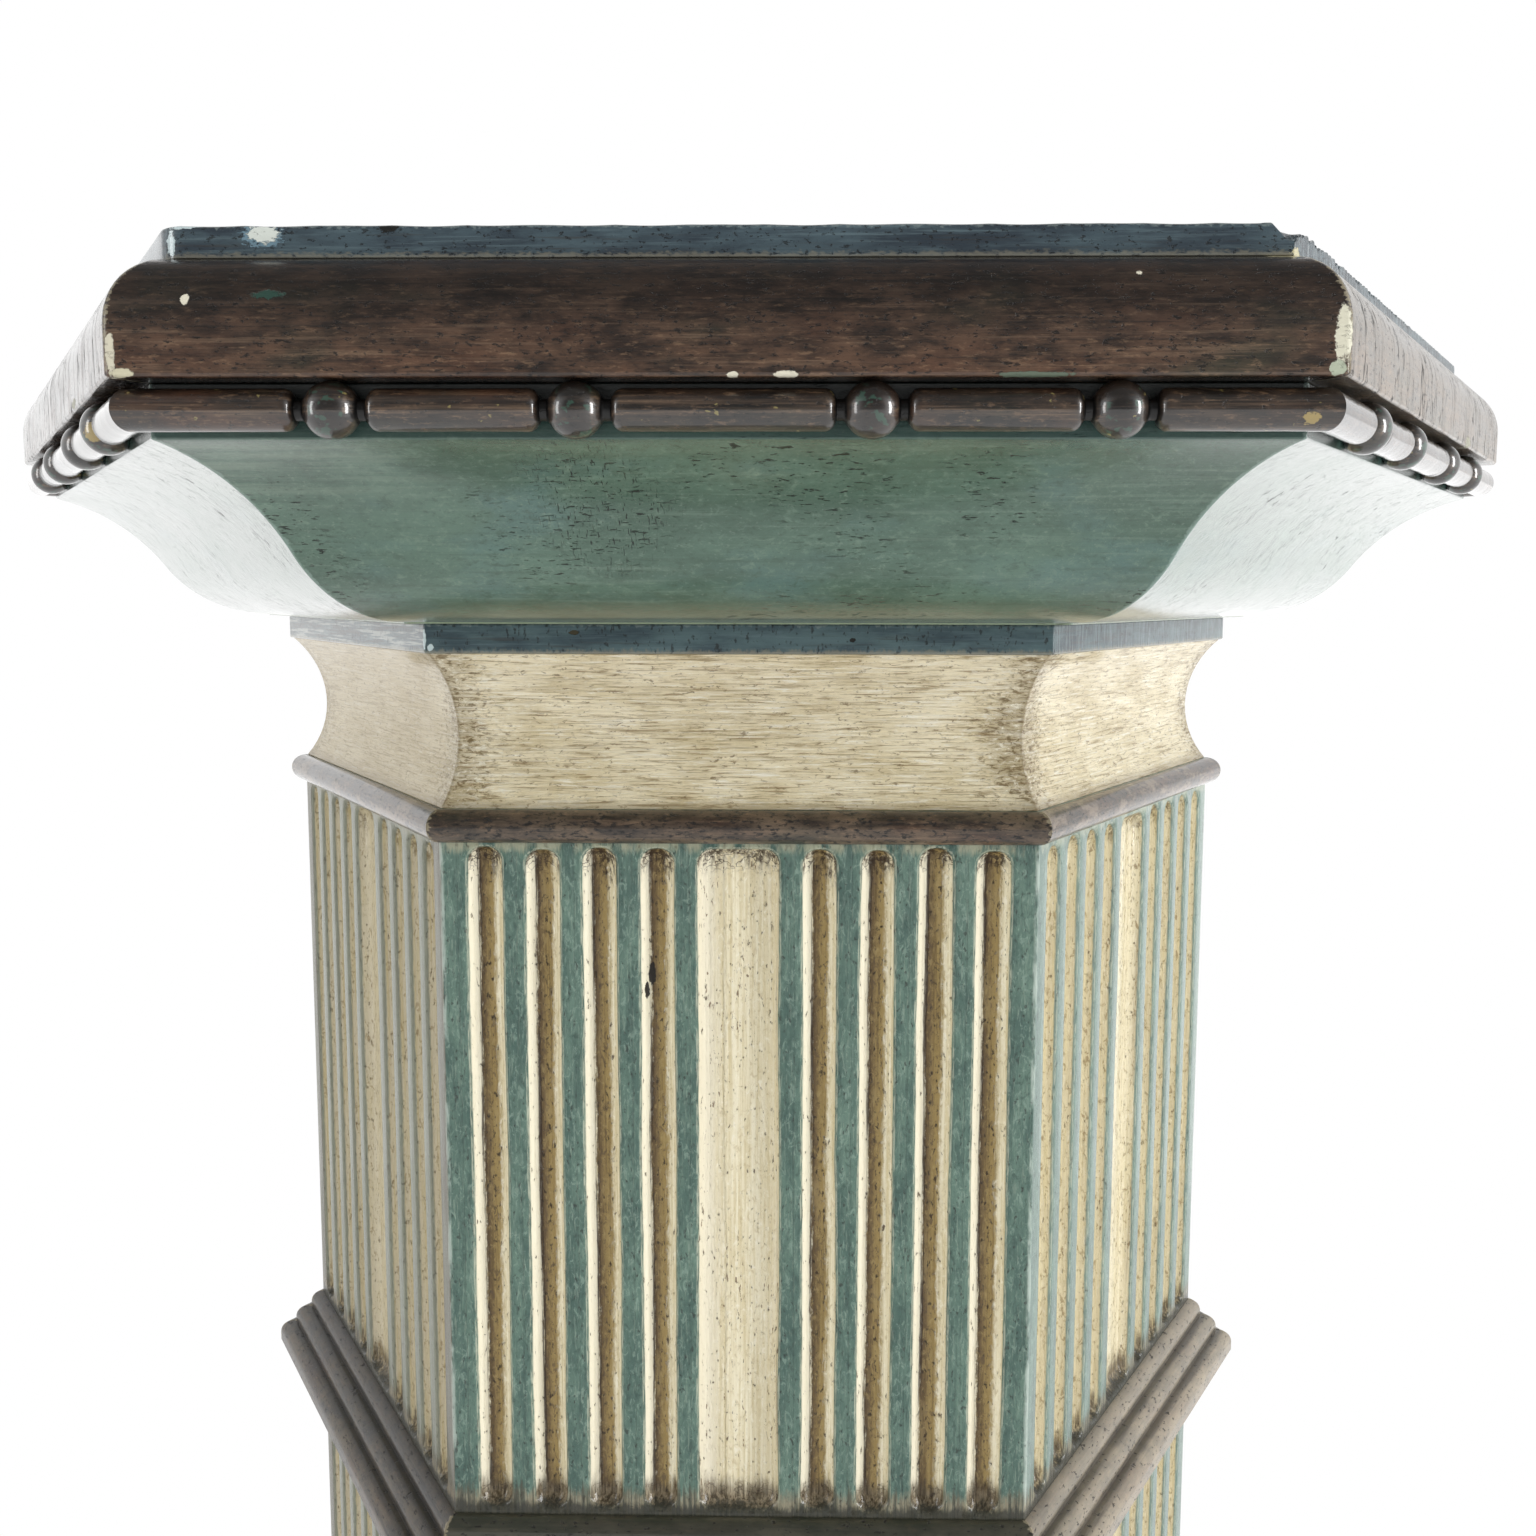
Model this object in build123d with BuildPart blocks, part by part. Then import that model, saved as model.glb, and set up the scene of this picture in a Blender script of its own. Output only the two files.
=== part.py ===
from build123d import *
import os
from math import acos, atan, cos, degrees, pi, sin, sqrt, tan

os.makedirs("parts", exist_ok=True)

# Hexagonal painted column, +Z up, millimetres. The origin is on the floor at the column's axis.
# One side of the hexagon faces -Y, and side number n is turned n times 60 degrees from it.
side_count = 6
side_turn = 360 / side_count
half_side_angle = pi / side_count

# Whole column
column_height = 1100.0

# Capital, from the top down: five solid hexagonal boards stacked and glued
top_board_thickness = 6.5
top_board_worn_corner = 7.0
cushion_flats = 416.0
top_board_inset = 13.0
cushion_thickness = 25.0
cushion_roundover = 15.0
cyma_lip_inset = 8.6
cyma_lip_height = 11.0
cyma_height = 49.0
cyma_foot_reach = 5.8
cyma_foot_step = 0.4
cyma_turn_in = 0.51
cyma_turn_down = 0.585
neck_board_flats = 267.0
neck_board_thickness = 7.4
cove_height = 39.0
cove_head_inset = 1.0
cove_foot_inset = 0.5
cove_hollow = 7.5

# Bead-and-reel rods under the cushion: turned, planed flat at the back and mitred at the corners
bead_diameter = 11.6
reel_diameter = 8.6
neck_diameter = 5.0
reel_end_chamfer = 1.2
rod_facets = 12
bead_steps = 2
bead_gap = 1.3
middle_reel_length = 44.0
side_reel_length = 34.0
rod_flat_depth = 0.4

# Half-round astragal at the top of the shaft
astragal_height = 8.5
astragal_reach = 4.2

# Shaft: six mitred staves with stopped flutes above and below the collar
shaft_flats = 260.0
stave_thickness = 20.0
block_thickness = 30.0

# Flutes of each side: one wide in the middle, narrow ones at an even pitch on each side of it
flute_depth = 3.2
narrow_flute_width = 9.0
wide_flute_width = 21.0
flute_pitch = 14.5
flutes_each_way = 4
flute_rib = 5.5
flute_corner = 2.4
flute_cheek = 3.2
flute_steps = 2
upper_flute_length = 176.5
flute_margin = 1.8
astragal_margin = 1.0

# Collar of three stepped quarter-round beads
collar_beads = 3
collar_bead_width = 3.6
collar_bead_height = 4.4
collar_bead_radius = 4.2
collar_step = 1.2
collar_foot = 2.6

# Plinth boards round the foot
plinth_height = 100.0
plinth_thickness = 20.0
plinth_chamfer = 8.0
plinth_margin = 20.0

# Apothems: from the axis to the middle of a side
cushion_apothem = cushion_flats / 2
top_board_apothem = cushion_apothem - top_board_inset
cyma_lip_apothem = cushion_apothem - cyma_lip_inset
neck_board_apothem = neck_board_flats / 2
shaft_apothem = shaft_flats / 2
block_apothem = shaft_apothem - stave_thickness
plinth_apothem = shaft_apothem + plinth_thickness
astragal_apothem = shaft_apothem + astragal_reach
rod_apothem = cyma_lip_apothem + reel_diameter / 2 - rod_flat_depth

# Levels, from the top down
top_board_level = column_height - top_board_thickness
cushion_level = top_board_level - cushion_thickness
cyma_level = cushion_level - cyma_height
neck_board_level = cyma_level - neck_board_thickness
shaft_top = neck_board_level - cove_height
astragal_level = shaft_top - astragal_height
upper_flute_top = astragal_level - astragal_margin
upper_flute_level = upper_flute_top - upper_flute_length
collar_top = upper_flute_level - flute_margin
collar_height = collar_beads * collar_bead_height + (collar_beads - 1) * collar_step + collar_foot
collar_level = collar_top - collar_height
lower_flute_top = collar_level - flute_margin
lower_flute_level = plinth_height + plinth_margin
rod_level = cushion_level - bead_diameter / 2

# Upright plane through the axis and the middle of the front side: x runs outward, y runs up
front_section = Plane(origin=(0, 0, 0), x_dir=(0, -1, 0), z_dir=(-1, 0, 0))


def half_side(apothem):
    """Half the length of one side of the hexagon at this apothem."""
    return apothem * tan(half_side_angle)


def cut_mitres():
    """Trim the length being built to the front side's two upright mitre planes."""
    for across in (-1, 1):
        mitre = Plane(origin=(0, 0, 0), z_dir=(across * cos(half_side_angle), -sin(half_side_angle), 0))
        split(bisect_by=mitre, keep=Keep.TOP)


def write_six(front_piece, name):
    """Turn the front side's piece to all six sides, and write each as its own piece."""
    for side in range(side_count):
        with BuildPart() as piece:
            add(front_piece.part, rotation=(0, 0, side * side_turn))
        piece.part.label = f"{name}_{side + 1}"
        export_step(piece.part, f"parts/{name}_{side + 1}.step")


# Top board, with its front left corner worn round
with BuildPart() as top_board:
    with BuildSketch(Plane.XY.offset(top_board_level)):
        RegularPolygon(top_board_apothem, side_count, major_radius=False)
    extrude(amount=top_board_thickness)
    corners = top_board.edges().filter_by(Axis.Z)
    worn_corner = corners.group_by(Axis.Y)[0].sort_by(Axis.X)[0]
    fillet(worn_corner, radius=top_board_worn_corner)
top_board.part.label = "top_board"
export_step(top_board.part, "parts/top_board.step")

# Cushion board: plain edges below, a large quarter round above
with BuildPart() as cushion_board:
    with BuildSketch(Plane.XY.offset(cushion_level)):
        RegularPolygon(cushion_apothem, side_count, major_radius=False)
    extrude(amount=cushion_thickness)
    fillet(cushion_board.faces().sort_by(Axis.Z)[-1].edges(), radius=cushion_roundover)
cushion_board.part.label = "cushion_board"
export_step(cushion_board.part, "parts/cushion_board.step")

# Cyma block: a straight lip, then a hollow that turns into a round, running down to a thin foot.
# The same outline is run across three pairs of opposite sides, and what they share is the block.
cyma_foot_apothem = neck_board_apothem + cyma_foot_reach
lip_low = (cyma_lip_apothem, cushion_level - cyma_lip_height)
foot_high = (cyma_foot_apothem, cyma_level + cyma_foot_step)
turning_point = (
    lip_low[0] + cyma_turn_in * (foot_high[0] - lip_low[0]),
    lip_low[1] + cyma_turn_down * (foot_high[1] - lip_low[1]),
)
with BuildPart() as cyma_block:
    for pair in range(side_count // 2):
        pair_section = front_section.rotated((0, 0, pair * side_turn))
        with BuildSketch(pair_section):
            with BuildLine():
                Polyline(lip_low, (cyma_lip_apothem, cushion_level), (0, cushion_level))
                Polyline((0, cushion_level), (0, cyma_level), (cyma_foot_apothem, cyma_level), foot_high)
                round_below = TangentArc(foot_high, turning_point, tangent=(1, 0))
                TangentArc(turning_point, lip_low, tangent=round_below % 1)
            make_face()
            mirror(about=Plane.YZ)
        extrude(
            amount=cyma_lip_apothem / cos(half_side_angle),
            both=True,
            mode=Mode.ADD if pair == 0 else Mode.INTERSECT,
        )
cyma_block.part.label = "cyma_block"
export_step(cyma_block.part, "parts/cyma_block.step")

# Neck board: the thin board between the cyma and the cove
with BuildPart() as neck_board:
    with BuildSketch(Plane.XY.offset(neck_board_level)):
        RegularPolygon(neck_board_apothem, side_count, major_radius=False)
    extrude(amount=neck_board_thickness)
neck_board.part.label = "neck_board"
export_step(neck_board.part, "parts/neck_board.step")

# Cove block: one hollow all round, worked in the same way as the cyma
cove_head = (neck_board_apothem - cove_head_inset, neck_board_level)
cove_foot = (shaft_apothem - cove_foot_inset, shaft_top)
with BuildPart() as cove_block:
    for pair in range(side_count // 2):
        pair_section = front_section.rotated((0, 0, pair * side_turn))
        with BuildSketch(pair_section):
            with BuildLine():
                SagittaArc(cove_head, cove_foot, -cove_hollow)
                Polyline(cove_foot, (0, shaft_top), (0, neck_board_level), cove_head)
            make_face()
            mirror(about=Plane.YZ)
        extrude(
            amount=neck_board_apothem / cos(half_side_angle),
            both=True,
            mode=Mode.ADD if pair == 0 else Mode.INTERSECT,
        )
cove_block.part.label = "cove_block"
export_step(cove_block.part, "parts/cove_block.step")

# Bead-and-reel rod: the stations of its beads and reels follow from their lengths and the gaps
bead_radius = bead_diameter / 2
reel_radius = reel_diameter / 2
neck_radius = neck_diameter / 2
bead_end_angle = acos(neck_radius / bead_radius)
first_bead = middle_reel_length / 2 + bead_gap + bead_radius
side_reel_start = first_bead + bead_radius + bead_gap
second_bead = side_reel_start + side_reel_length + bead_gap + bead_radius
end_reel_start = second_bead + bead_radius + bead_gap
rod_half_length = half_side(rod_apothem + reel_diameter)


def bead_outline(station):
    """Points along one round bead: station on the rod, and radius there."""
    angles = [bead_end_angle * step / bead_steps for step in range(-bead_steps, bead_steps + 1)]
    return [(station + bead_radius * sin(angle), bead_radius * cos(angle)) for angle in angles]


def reel_outline(start, end):
    """Points along one reel, with its ends eased."""
    return [
        (start, reel_radius - reel_end_chamfer),
        (start + reel_end_chamfer, reel_radius),
        (end - reel_end_chamfer, reel_radius),
        (end, reel_radius - reel_end_chamfer),
    ]


# Half of the rod is outlined from its middle to past the mitre, and mirrored. The outline is run across
# each pair of opposite facets of the turning, and what these runs share is the rod.
rod_outline = [
    (0, 0),
    (0, reel_radius),
    *reel_outline(-middle_reel_length / 2, middle_reel_length / 2)[2:],
    *bead_outline(first_bead),
    *reel_outline(side_reel_start, side_reel_start + side_reel_length),
    *bead_outline(second_bead),
    *reel_outline(end_reel_start, rod_half_length + reel_end_chamfer)[:3],
    (rod_half_length, 0),
]
rod_plane = Plane(origin=(0, -rod_apothem, rod_level), x_dir=(1, 0, 0), z_dir=(0, -1, 0))
with BuildPart() as rod:
    for pair in range(rod_facets // 2):
        with BuildSketch(rod_plane.rotated((pair * 360 / rod_facets, 0, 0))):
            Polygon(*rod_outline, align=None)
            mirror(about=Plane.XZ)
        extrude(amount=bead_diameter, both=True, mode=Mode.ADD if pair == 0 else Mode.INTERSECT)
    mirror(about=Plane.YZ)
    split(bisect_by=Plane(origin=(0, -cyma_lip_apothem, 0), z_dir=(0, -1, 0)), keep=Keep.TOP)
    cut_mitres()
write_six(rod, "bead_and_reel")

# Astragal length: a half round against the top of the shaft
with BuildPart() as astragal:
    with BuildSketch(front_section):
        with BuildLine():
            ThreePointArc(
                (shaft_apothem, shaft_top),
                (astragal_apothem, shaft_top - astragal_height / 2),
                (shaft_apothem, astragal_level),
            )
            Line((shaft_apothem, astragal_level), (shaft_apothem, shaft_top))
        make_face()
    extrude(amount=half_side(astragal_apothem), both=True)
    cut_mitres()
write_six(astragal, "astragal")

# Plane on the front stave's face that looks into the wood
into_face = Plane(origin=(0, -shaft_apothem, 0), x_dir=(1, 0, 0), z_dir=(0, 1, 0))


def flute_cutter(width, length):
    """One flute's hollow: its walls curve down to the bottom alike at the sides and at both stops."""
    angles = [pi / 2 * step / flute_steps for step in range(flute_steps + 1)]
    bands = [(flute_depth * sin(angle), flute_cheek * (1 - cos(angle))) for angle in angles]
    with BuildPart() as cutter:
        for (deep, inset), (next_deep, next_inset) in zip(bands, bands[1:]):
            with BuildSketch(into_face.offset(deep)) as outline:
                Rectangle(width - 2 * inset, length - 2 * inset)
                chamfer(outline.vertices(), length=flute_corner - (2 - sqrt(2)) * inset)
            thickness = next_deep - deep
            extrude(amount=thickness, taper=degrees(atan((next_inset - inset) / thickness)))
    return cutter


# Stave: a mitred board of the shaft, fluted above and below the plain band under the collar
lower_flute_length = lower_flute_top - lower_flute_level
with BuildPart() as stave:
    with BuildSketch(front_section):
        with Locations((block_apothem, 0)):
            Rectangle(stave_thickness, shaft_top, align=Align.MIN)
    extrude(amount=half_side(shaft_apothem), both=True)
    cut_mitres()
    for level, length in ((upper_flute_level, upper_flute_length), (lower_flute_level, lower_flute_length)):
        middle = level + length / 2
        with Locations((0, 0, middle)):
            add(flute_cutter(wide_flute_width, length).part, mode=Mode.SUBTRACT)
        first_narrow = wide_flute_width / 2 + flute_rib + narrow_flute_width / 2
        stations = [first_narrow + number * flute_pitch for number in range(flutes_each_way)]
        with Locations([(way * station, 0, middle) for way in (-1, 1) for station in stations]):
            add(flute_cutter(narrow_flute_width, length).part, mode=Mode.SUBTRACT)
write_six(stave, "stave")

# Collar length: three quarter-round beads, each stepping out below the one above
with BuildPart() as collar:
    with BuildSketch(front_section):
        with BuildLine():
            for number in range(collar_beads):
                inner = shaft_apothem + number * (collar_bead_width + collar_step)
                outer = inner + collar_bead_width
                bead_low = collar_top - number * (collar_bead_height + collar_step) - collar_bead_height
                last = number == collar_beads - 1
                drop = collar_foot if last else collar_step
                RadiusArc((inner, bead_low + collar_bead_height), (outer, bead_low), collar_bead_radius)
                Line((outer, bead_low), (outer, bead_low - drop))
                if not last:
                    Line((outer, bead_low - drop), (outer + collar_step, bead_low - drop))
            Polyline((outer, collar_level), (shaft_apothem, collar_level), (shaft_apothem, collar_top))
        make_face()
    extrude(amount=half_side(outer), both=True)
    cut_mitres()
write_six(collar, "collar")

# Plinth board: a plain board round the foot of the shaft, chamfered along its top
with BuildPart() as plinth_board:
    with BuildSketch(front_section):
        with Locations((shaft_apothem, 0)):
            Rectangle(plinth_thickness, plinth_height, align=Align.MIN)
    extrude(amount=half_side(plinth_apothem), both=True)
    chamfer(plinth_board.edges().filter_by(Axis.X).group_by(Axis.Z)[-1].sort_by(Axis.Y)[0], length=plinth_chamfer)
    cut_mitres()
write_six(plinth_board, "plinth_board")

# Blocks inside the shaft: one carries the capital, one closes the foot
for name, low in (("head_block", shaft_top - block_thickness), ("foot_block", 0)):
    with BuildPart() as block:
        with BuildSketch(Plane.XY.offset(low)):
            RegularPolygon(block_apothem, side_count, major_radius=False)
        extrude(amount=block_thickness)
    block.part.label = name
    export_step(block.part, f"parts/{name}.step")
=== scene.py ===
# %% [markdown]
# # A painted hexagonal column
# The column is joinery: six fluted boards mitred into a shaft, with solid boards stacked on it as a
# capital. The CAD frame holds every piece at its true size. This lesson adds what the solids leave
# out: soft arrises, hand-cut flutes, turned beads, old varnished paint, and where it has worn away.

import bmesh
import bpy
import numpy as np
from mathutils import Matrix, Vector


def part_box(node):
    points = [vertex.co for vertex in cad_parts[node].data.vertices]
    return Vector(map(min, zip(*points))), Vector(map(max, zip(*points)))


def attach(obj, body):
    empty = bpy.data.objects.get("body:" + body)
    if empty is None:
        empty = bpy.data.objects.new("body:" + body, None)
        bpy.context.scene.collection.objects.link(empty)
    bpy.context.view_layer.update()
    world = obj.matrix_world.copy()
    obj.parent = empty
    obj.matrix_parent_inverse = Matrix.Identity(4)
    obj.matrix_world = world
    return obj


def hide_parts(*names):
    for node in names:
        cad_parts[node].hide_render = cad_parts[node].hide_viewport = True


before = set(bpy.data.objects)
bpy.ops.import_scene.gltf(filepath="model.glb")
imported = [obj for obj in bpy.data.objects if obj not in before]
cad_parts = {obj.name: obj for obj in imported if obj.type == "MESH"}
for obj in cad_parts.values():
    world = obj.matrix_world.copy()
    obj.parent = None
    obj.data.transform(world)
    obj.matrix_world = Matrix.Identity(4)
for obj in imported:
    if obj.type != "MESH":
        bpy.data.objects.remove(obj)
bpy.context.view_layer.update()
print("pieces in the frame:", len(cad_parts))

# %% [markdown]
# ## Measures
# A few sizes of the joinery, in millimetres, are used again below. They are read from the frame where
# a piece's box gives them, so that the scene fits its solids.

# %% Sizes
MM = 0.001
SIDES = 6
TURN = 2 * np.pi / SIDES
HALF_SIDE = np.tan(np.pi / SIDES)


def span(node):
    """Lowest and highest corner of a CAD piece, in millimetres."""
    low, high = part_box(node)
    return np.array(low) / MM, np.array(high) / MM


cushion_low = span("cushion_board")[0]
top_low, top_high = span("top_board")
shaft_low, shaft_high = span("stave_1")
rod_high = span("bead_and_reel_1")[1]
shaft_apothem = -shaft_low[1]
shaft_top = shaft_high[2]
print("shaft: apothem", round(float(shaft_apothem), 2), "top", round(float(shaft_top), 2))

# %% [markdown]
# ## Sums on node sockets
# Every finish below is a pattern worked out by nodes. Wiring those by hand hides the idea, so one small
# class wraps a socket: plus, minus, times and the rest on it add the Math nodes. A second class adds
# any other node from its type, its settings and the values of its sockets.


# %% Socket sums
class Field:
    """A number that changes from place to place: sums on it add Math nodes."""

    def __init__(self, nodes, socket):
        self.nodes = nodes
        self.socket = socket

    def maths(self, operation, *terms):
        return self.nodes.add("ShaderNodeMath", {"operation": operation}, dict(enumerate(terms)))

    def __neg__(self):
        return self.maths("MULTIPLY", self, -1.0)

    def __abs__(self):
        return self.maths("ABSOLUTE", self)

    def root(self):
        return self.maths("SQRT", self.larger(0.0))

    def larger(self, other):
        return self.maths("MAXIMUM", self, other)

    def smaller(self, other):
        return self.maths("MINIMUM", self, other)

    def rise(self, low, high):
        """0 below low and 1 above high, with a smooth slope between. It falls where high is the lower."""
        if high < low:
            return 1.0 - self.rise(high, low)
        settings = {"interpolation_type": "SMOOTHSTEP"}
        return self.nodes.add("ShaderNodeMapRange", settings, {0: self, 1: low, 2: high, 3: 0.0, 4: 1.0})


def overload(name, operation):
    """Lets an arithmetic sign between a field and a number or a field, either way round, add its node."""
    setattr(Field, f"__{name}__", lambda self, other: self.maths(operation, self, other))
    setattr(Field, f"__r{name}__", lambda self, other: self.maths(operation, other, self))


SIGNS = {"add": "ADD", "sub": "SUBTRACT", "mul": "MULTIPLY", "truediv": "DIVIDE", "pow": "POWER"}
for name, operation in SIGNS.items():
    overload(name, operation)


class Nodes:
    """A node tree that is being built."""

    def __init__(self, tree):
        self.tree = tree
        self.tree.nodes.clear()

    def add(self, kind, settings=None, sockets=None, output=0):
        node = self.tree.nodes.new(kind)
        for name, value in (settings or {}).items():
            setattr(node, name, value)
        for key, value in (sockets or {}).items():
            if isinstance(value, Field):
                self.tree.links.new(value.socket, node.inputs[key])
            else:
                node.inputs[key].default_value = value
        return Field(self, node.outputs[output]) if len(node.outputs) else None


print("sums ready")

# %% [markdown]
# ## A finish
# Old paint is layers: a colour that drifts, streaks along the brush or the grain, dirt in the hollows,
# rubbed places, and a varnish over it all. This class gives each finish the same tools, with places
# given in millimetres from the column's own axis and floor, so that a pattern stays where it is put.

# %% Paint tools
COS, SIN = float(np.cos(np.pi / SIDES)), float(np.sin(np.pi / SIDES))


def paint(red, green, blue):
    """A colour as it is picked from a picture, 0 to 255, turned into the light that nodes work in."""
    parts = [c / 255 for c in (red, green, blue)]
    return [c / 12.92 if c <= 0.04045 else ((c + 0.055) / 1.055) ** 2.4 for c in parts] + [1.0]


class Finish(Nodes):
    """A material whose pattern follows the place on the column."""

    def __init__(self, name):
        self.material = bpy.data.materials.new(name)
        self.material.use_nodes = True
        super().__init__(self.material.node_tree)
        self.place = self.add("ShaderNodeTexCoord", output="Object")
        parts = self.add("ShaderNodeSeparateXYZ", {}, {0: self.place}).socket.node.outputs
        self.x, self.y, self.z = (Field(self, part) / MM for part in parts)
        slant = abs(self.x) * COS + abs(self.y) * SIN
        self.slanted = (slant - abs(self.y)).rise(-0.01, 0.01)
        self.out = slant.larger(abs(self.y))
        self.corner = abs(slant - abs(self.y)).smaller(abs(self.y))

    def grain(self, size, detail=3.0, rough=0.5, twist=0.0, seed=0.0):
        """Noise from 0 to 1 whose blotches are about this many millimetres along x, y and z."""
        scaled = {"Vector": self.place, "Location": [seed, seed * 0.7, seed * 1.3]}
        scaled["Scale"] = [1 / (MM * s) for s in size]
        moved = self.add("ShaderNodeMapping", {}, scaled)
        look = {"Vector": moved, "Scale": 1.0, "Detail": detail, "Roughness": rough, "Distortion": twist}
        return self.add("ShaderNodeTexNoise", {}, look)

    def crackle(self, size, width, detail=2.0, seed=0.0):
        """Thin wandering lines, 0 to 1, that follow one level of a noise of this size."""
        off = abs(self.grain(size, detail=detail, seed=seed) - 0.5)
        return off.rise(width, width * 0.3)

    def mark(self, centre, reach, ragged, edge=0.09):
        """1 inside a patch round a place, with a ragged edge cut by the noise that is handed in."""
        moved = {"Vector": self.place, "Scale": [1 / (MM * r) for r in reach]}
        moved["Location"] = [-c / r for c, r in zip(centre, reach)]
        inside = self.add("ShaderNodeMapping", {}, moved)
        length = self.add("ShaderNodeVectorMath", {"operation": "LENGTH"}, {0: inside}, output="Value")
        return (length + (ragged - 0.5) * 1.6).rise(1.0 + edge, 1.0 - edge)

    def mix(self, share, below, above):
        """The colour below, covered by the colour above in this share."""
        return self.add("ShaderNodeMix", {"data_type": "RGBA"}, {0: share, 6: below, 7: above}, output=2)

    def coats(self, colour, *coats):
        """The colour under one coat after another, each given by its share, then red, green and blue."""
        for share, *tone in coats:
            colour = self.mix(share, colour, paint(*tone))
        return colour

    def chipped(self, colour, chips, ragged):
        """The colour with chips that bare another one, and how far each place is bared."""
        bare = 0.0
        for centre, reach, ground in chips:
            shown = self.mark(centre, reach, ragged)
            colour, bare = self.mix(shown, colour, ground), shown + bare
        return colour, bare

    def shade(self, colour, factor):
        """A colour made lighter or darker by a number."""
        grey = self.add("ShaderNodeCombineColor", {}, {0: factor, 1: factor, 2: factor})
        settings = {"data_type": "RGBA", "blend_type": "MULTIPLY"}
        return self.add("ShaderNodeMix", settings, {0: 1.0, 6: colour, 7: grey}, output=2)

    def attribute(self, name):
        return self.add("ShaderNodeAttribute", {"attribute_name": name}, output="Fac")

    def finish(self, colour, roughness, height, depth=0.3, varnish=1.0, gloss=0.3, coat=1.38, haze=0.1):
        """Joins the colour, gloss and relief, in millimetres, to the shader, with varnish over them."""
        relief = {"Height": height, "Strength": 1.0, "Distance": depth * MM}
        normal = self.add("ShaderNodeBump", {}, relief)
        parts = {"Base Color": colour, "Roughness": roughness, "Normal": normal, "Coat Weight": varnish}
        parts.update({"Specular IOR Level": gloss, "Coat Roughness": haze, "Coat IOR": coat})
        shader = self.add("ShaderNodeBsdfPrincipled", {}, parts)
        self.add("ShaderNodeOutputMaterial", {}, {0: shader})
        print("finish", self.material.name, "nodes:", len(self.tree.nodes))
        return self.material


print("paint tools ready")

# %% [markdown]
# ## Blue boards
# The thin board on top and the one at the neck share one blue. It is thin over the sawn edge, so the
# saw's marks show through on the right side, and small chips bare the pale ground under it.


# %% Blue paint
def blue_finish(name, low, high, edge, chips, dark, light, dash=(1.3, 1.3, 0.7), saw_share=1.0, blotches=0.0):
    """Blue from a low to a high level, with saw marks past the edge, an apothem, and its chips."""
    f = Finish(name)
    streak = f.grain((26, 26, 1.0), detail=6, rough=0.62, seed=3)
    cloud = f.grain((16, 16, 5), detail=4, rough=0.6, seed=8)
    speck = f.grain(dash, detail=3, rough=0.6, seed=1)
    saw = f.grain((0.35, 0.8, 12), detail=4, rough=0.65, seed=5)
    sawn = f.slanted * f.out.rise(edge - 3.0, edge - 1.0) * (0.35 + 0.65 * f.x.rise(-20, 20)) * saw_share
    colour = f.mix(cloud.rise(0.32, 0.68), dark, light)
    left_side = f.slanted * f.x.rise(-20, -60) * blotches
    dust = (f.z - low + (speck - 0.5) * 3).rise(1.3, 0.3)
    # Painted highlight along the upper arris, laid over rubbed paint there.
    rubbed_and_lit_edge = (high - f.z + (speck - 0.5) * 3.4).rise(0.6, 0.15)
    colour = f.coats(
        colour,
        (streak.rise(0.5, 0.72) * 0.6, 98, 118, 124),
        (streak.rise(0.46, 0.3) * 0.5, 58, 52, 46),
        (saw.rise(0.5, 0.6) * sawn * 0.75, 150, 162, 166),
        (saw.rise(0.44, 0.36) * sawn * 0.8, 34, 38, 42),
        (left_side * streak.rise(0.5, 0.58), 178, 180, 174),
        (left_side * streak.rise(0.47, 0.4), 52, 50, 46),
        (speck.rise(0.6, 0.68) * 0.7, 30, 32, 32),
        (dust * 0.55, 138, 132, 112),
        (rubbed_and_lit_edge * 0.5, 128, 140, 138),
    )
    colour, chip = f.chipped(colour, chips, speck)
    rough = 0.36 + streak * 0.2
    height = streak * 0.4 + saw * sawn * 1.2 - speck.rise(0.6, 0.68) * 0.5 - 0.5 * chip
    return f.finish(colour, rough, height, depth=0.45, varnish=1.0 - sawn * 0.55)


pale_ground, dark_ground = paint(196, 212, 214), paint(26, 27, 25)
top_chips = [
    ((-92.8, -195, 1098.0), (4.2, 3, 2.3), paint(108, 136, 150)),
    ((-92.5, -195, 1098.3), (3.2, 3, 1.7), paint(216, 222, 214)),
    ((-67.4, -195, 1099.6), (2.0, 2, 1.2), dark_ground),
    ((114.3, -193.5, 1094.3), (2.6, 3, 1.1), paint(206, 198, 160)),
    ((-111.5, -194, 1096.5), (1.0, 3, 2.6), pale_ground),
    ((-109, -195, 1099.8), (3.5, 3, 0.5), pale_ground),
]
top_tones = paint(44, 56, 66), paint(70, 88, 96)
top_blue = blue_finish("blue_on_top_board", 1093.5, 1100.0, 195.0, top_chips, *top_tones)
neck_chips_and_glints = [
    # The first two are a painted glint on the front left corner, in the pale ground's colour; the rest are
    # chips.
    ((-77.0, -133, 1015.5), (0.5, 2, 2.4), pale_ground),
    ((-75.6, -133, 1013.6), (0.8, 2, 0.8), pale_ground),
    ((-40, -133.5, 1017.4), (1.3, 2, 0.5), paint(60, 54, 34)),
    ((28, -133.5, 1015.6), (0.7, 2, 0.5), dark_ground),
]
neck_tones = paint(52, 70, 78), paint(82, 104, 108)
neck_looks = {"dash": (1.1, 1.1, 2.0), "saw_share": 0.5, "blotches": 0.8}
neck_blue = blue_finish("blue_on_neck_board", 1012.1, 1019.5, 133.5, neck_chips_and_glints, *neck_tones, **neck_looks)

# %% [markdown]
# ## Brown mouldings
# The cushion, the beads, the astragal and the collar are one dark brown, put on in horizontal strokes
# and rubbed down to a redder or a greener layer. The varnish on it is glossy.


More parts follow.
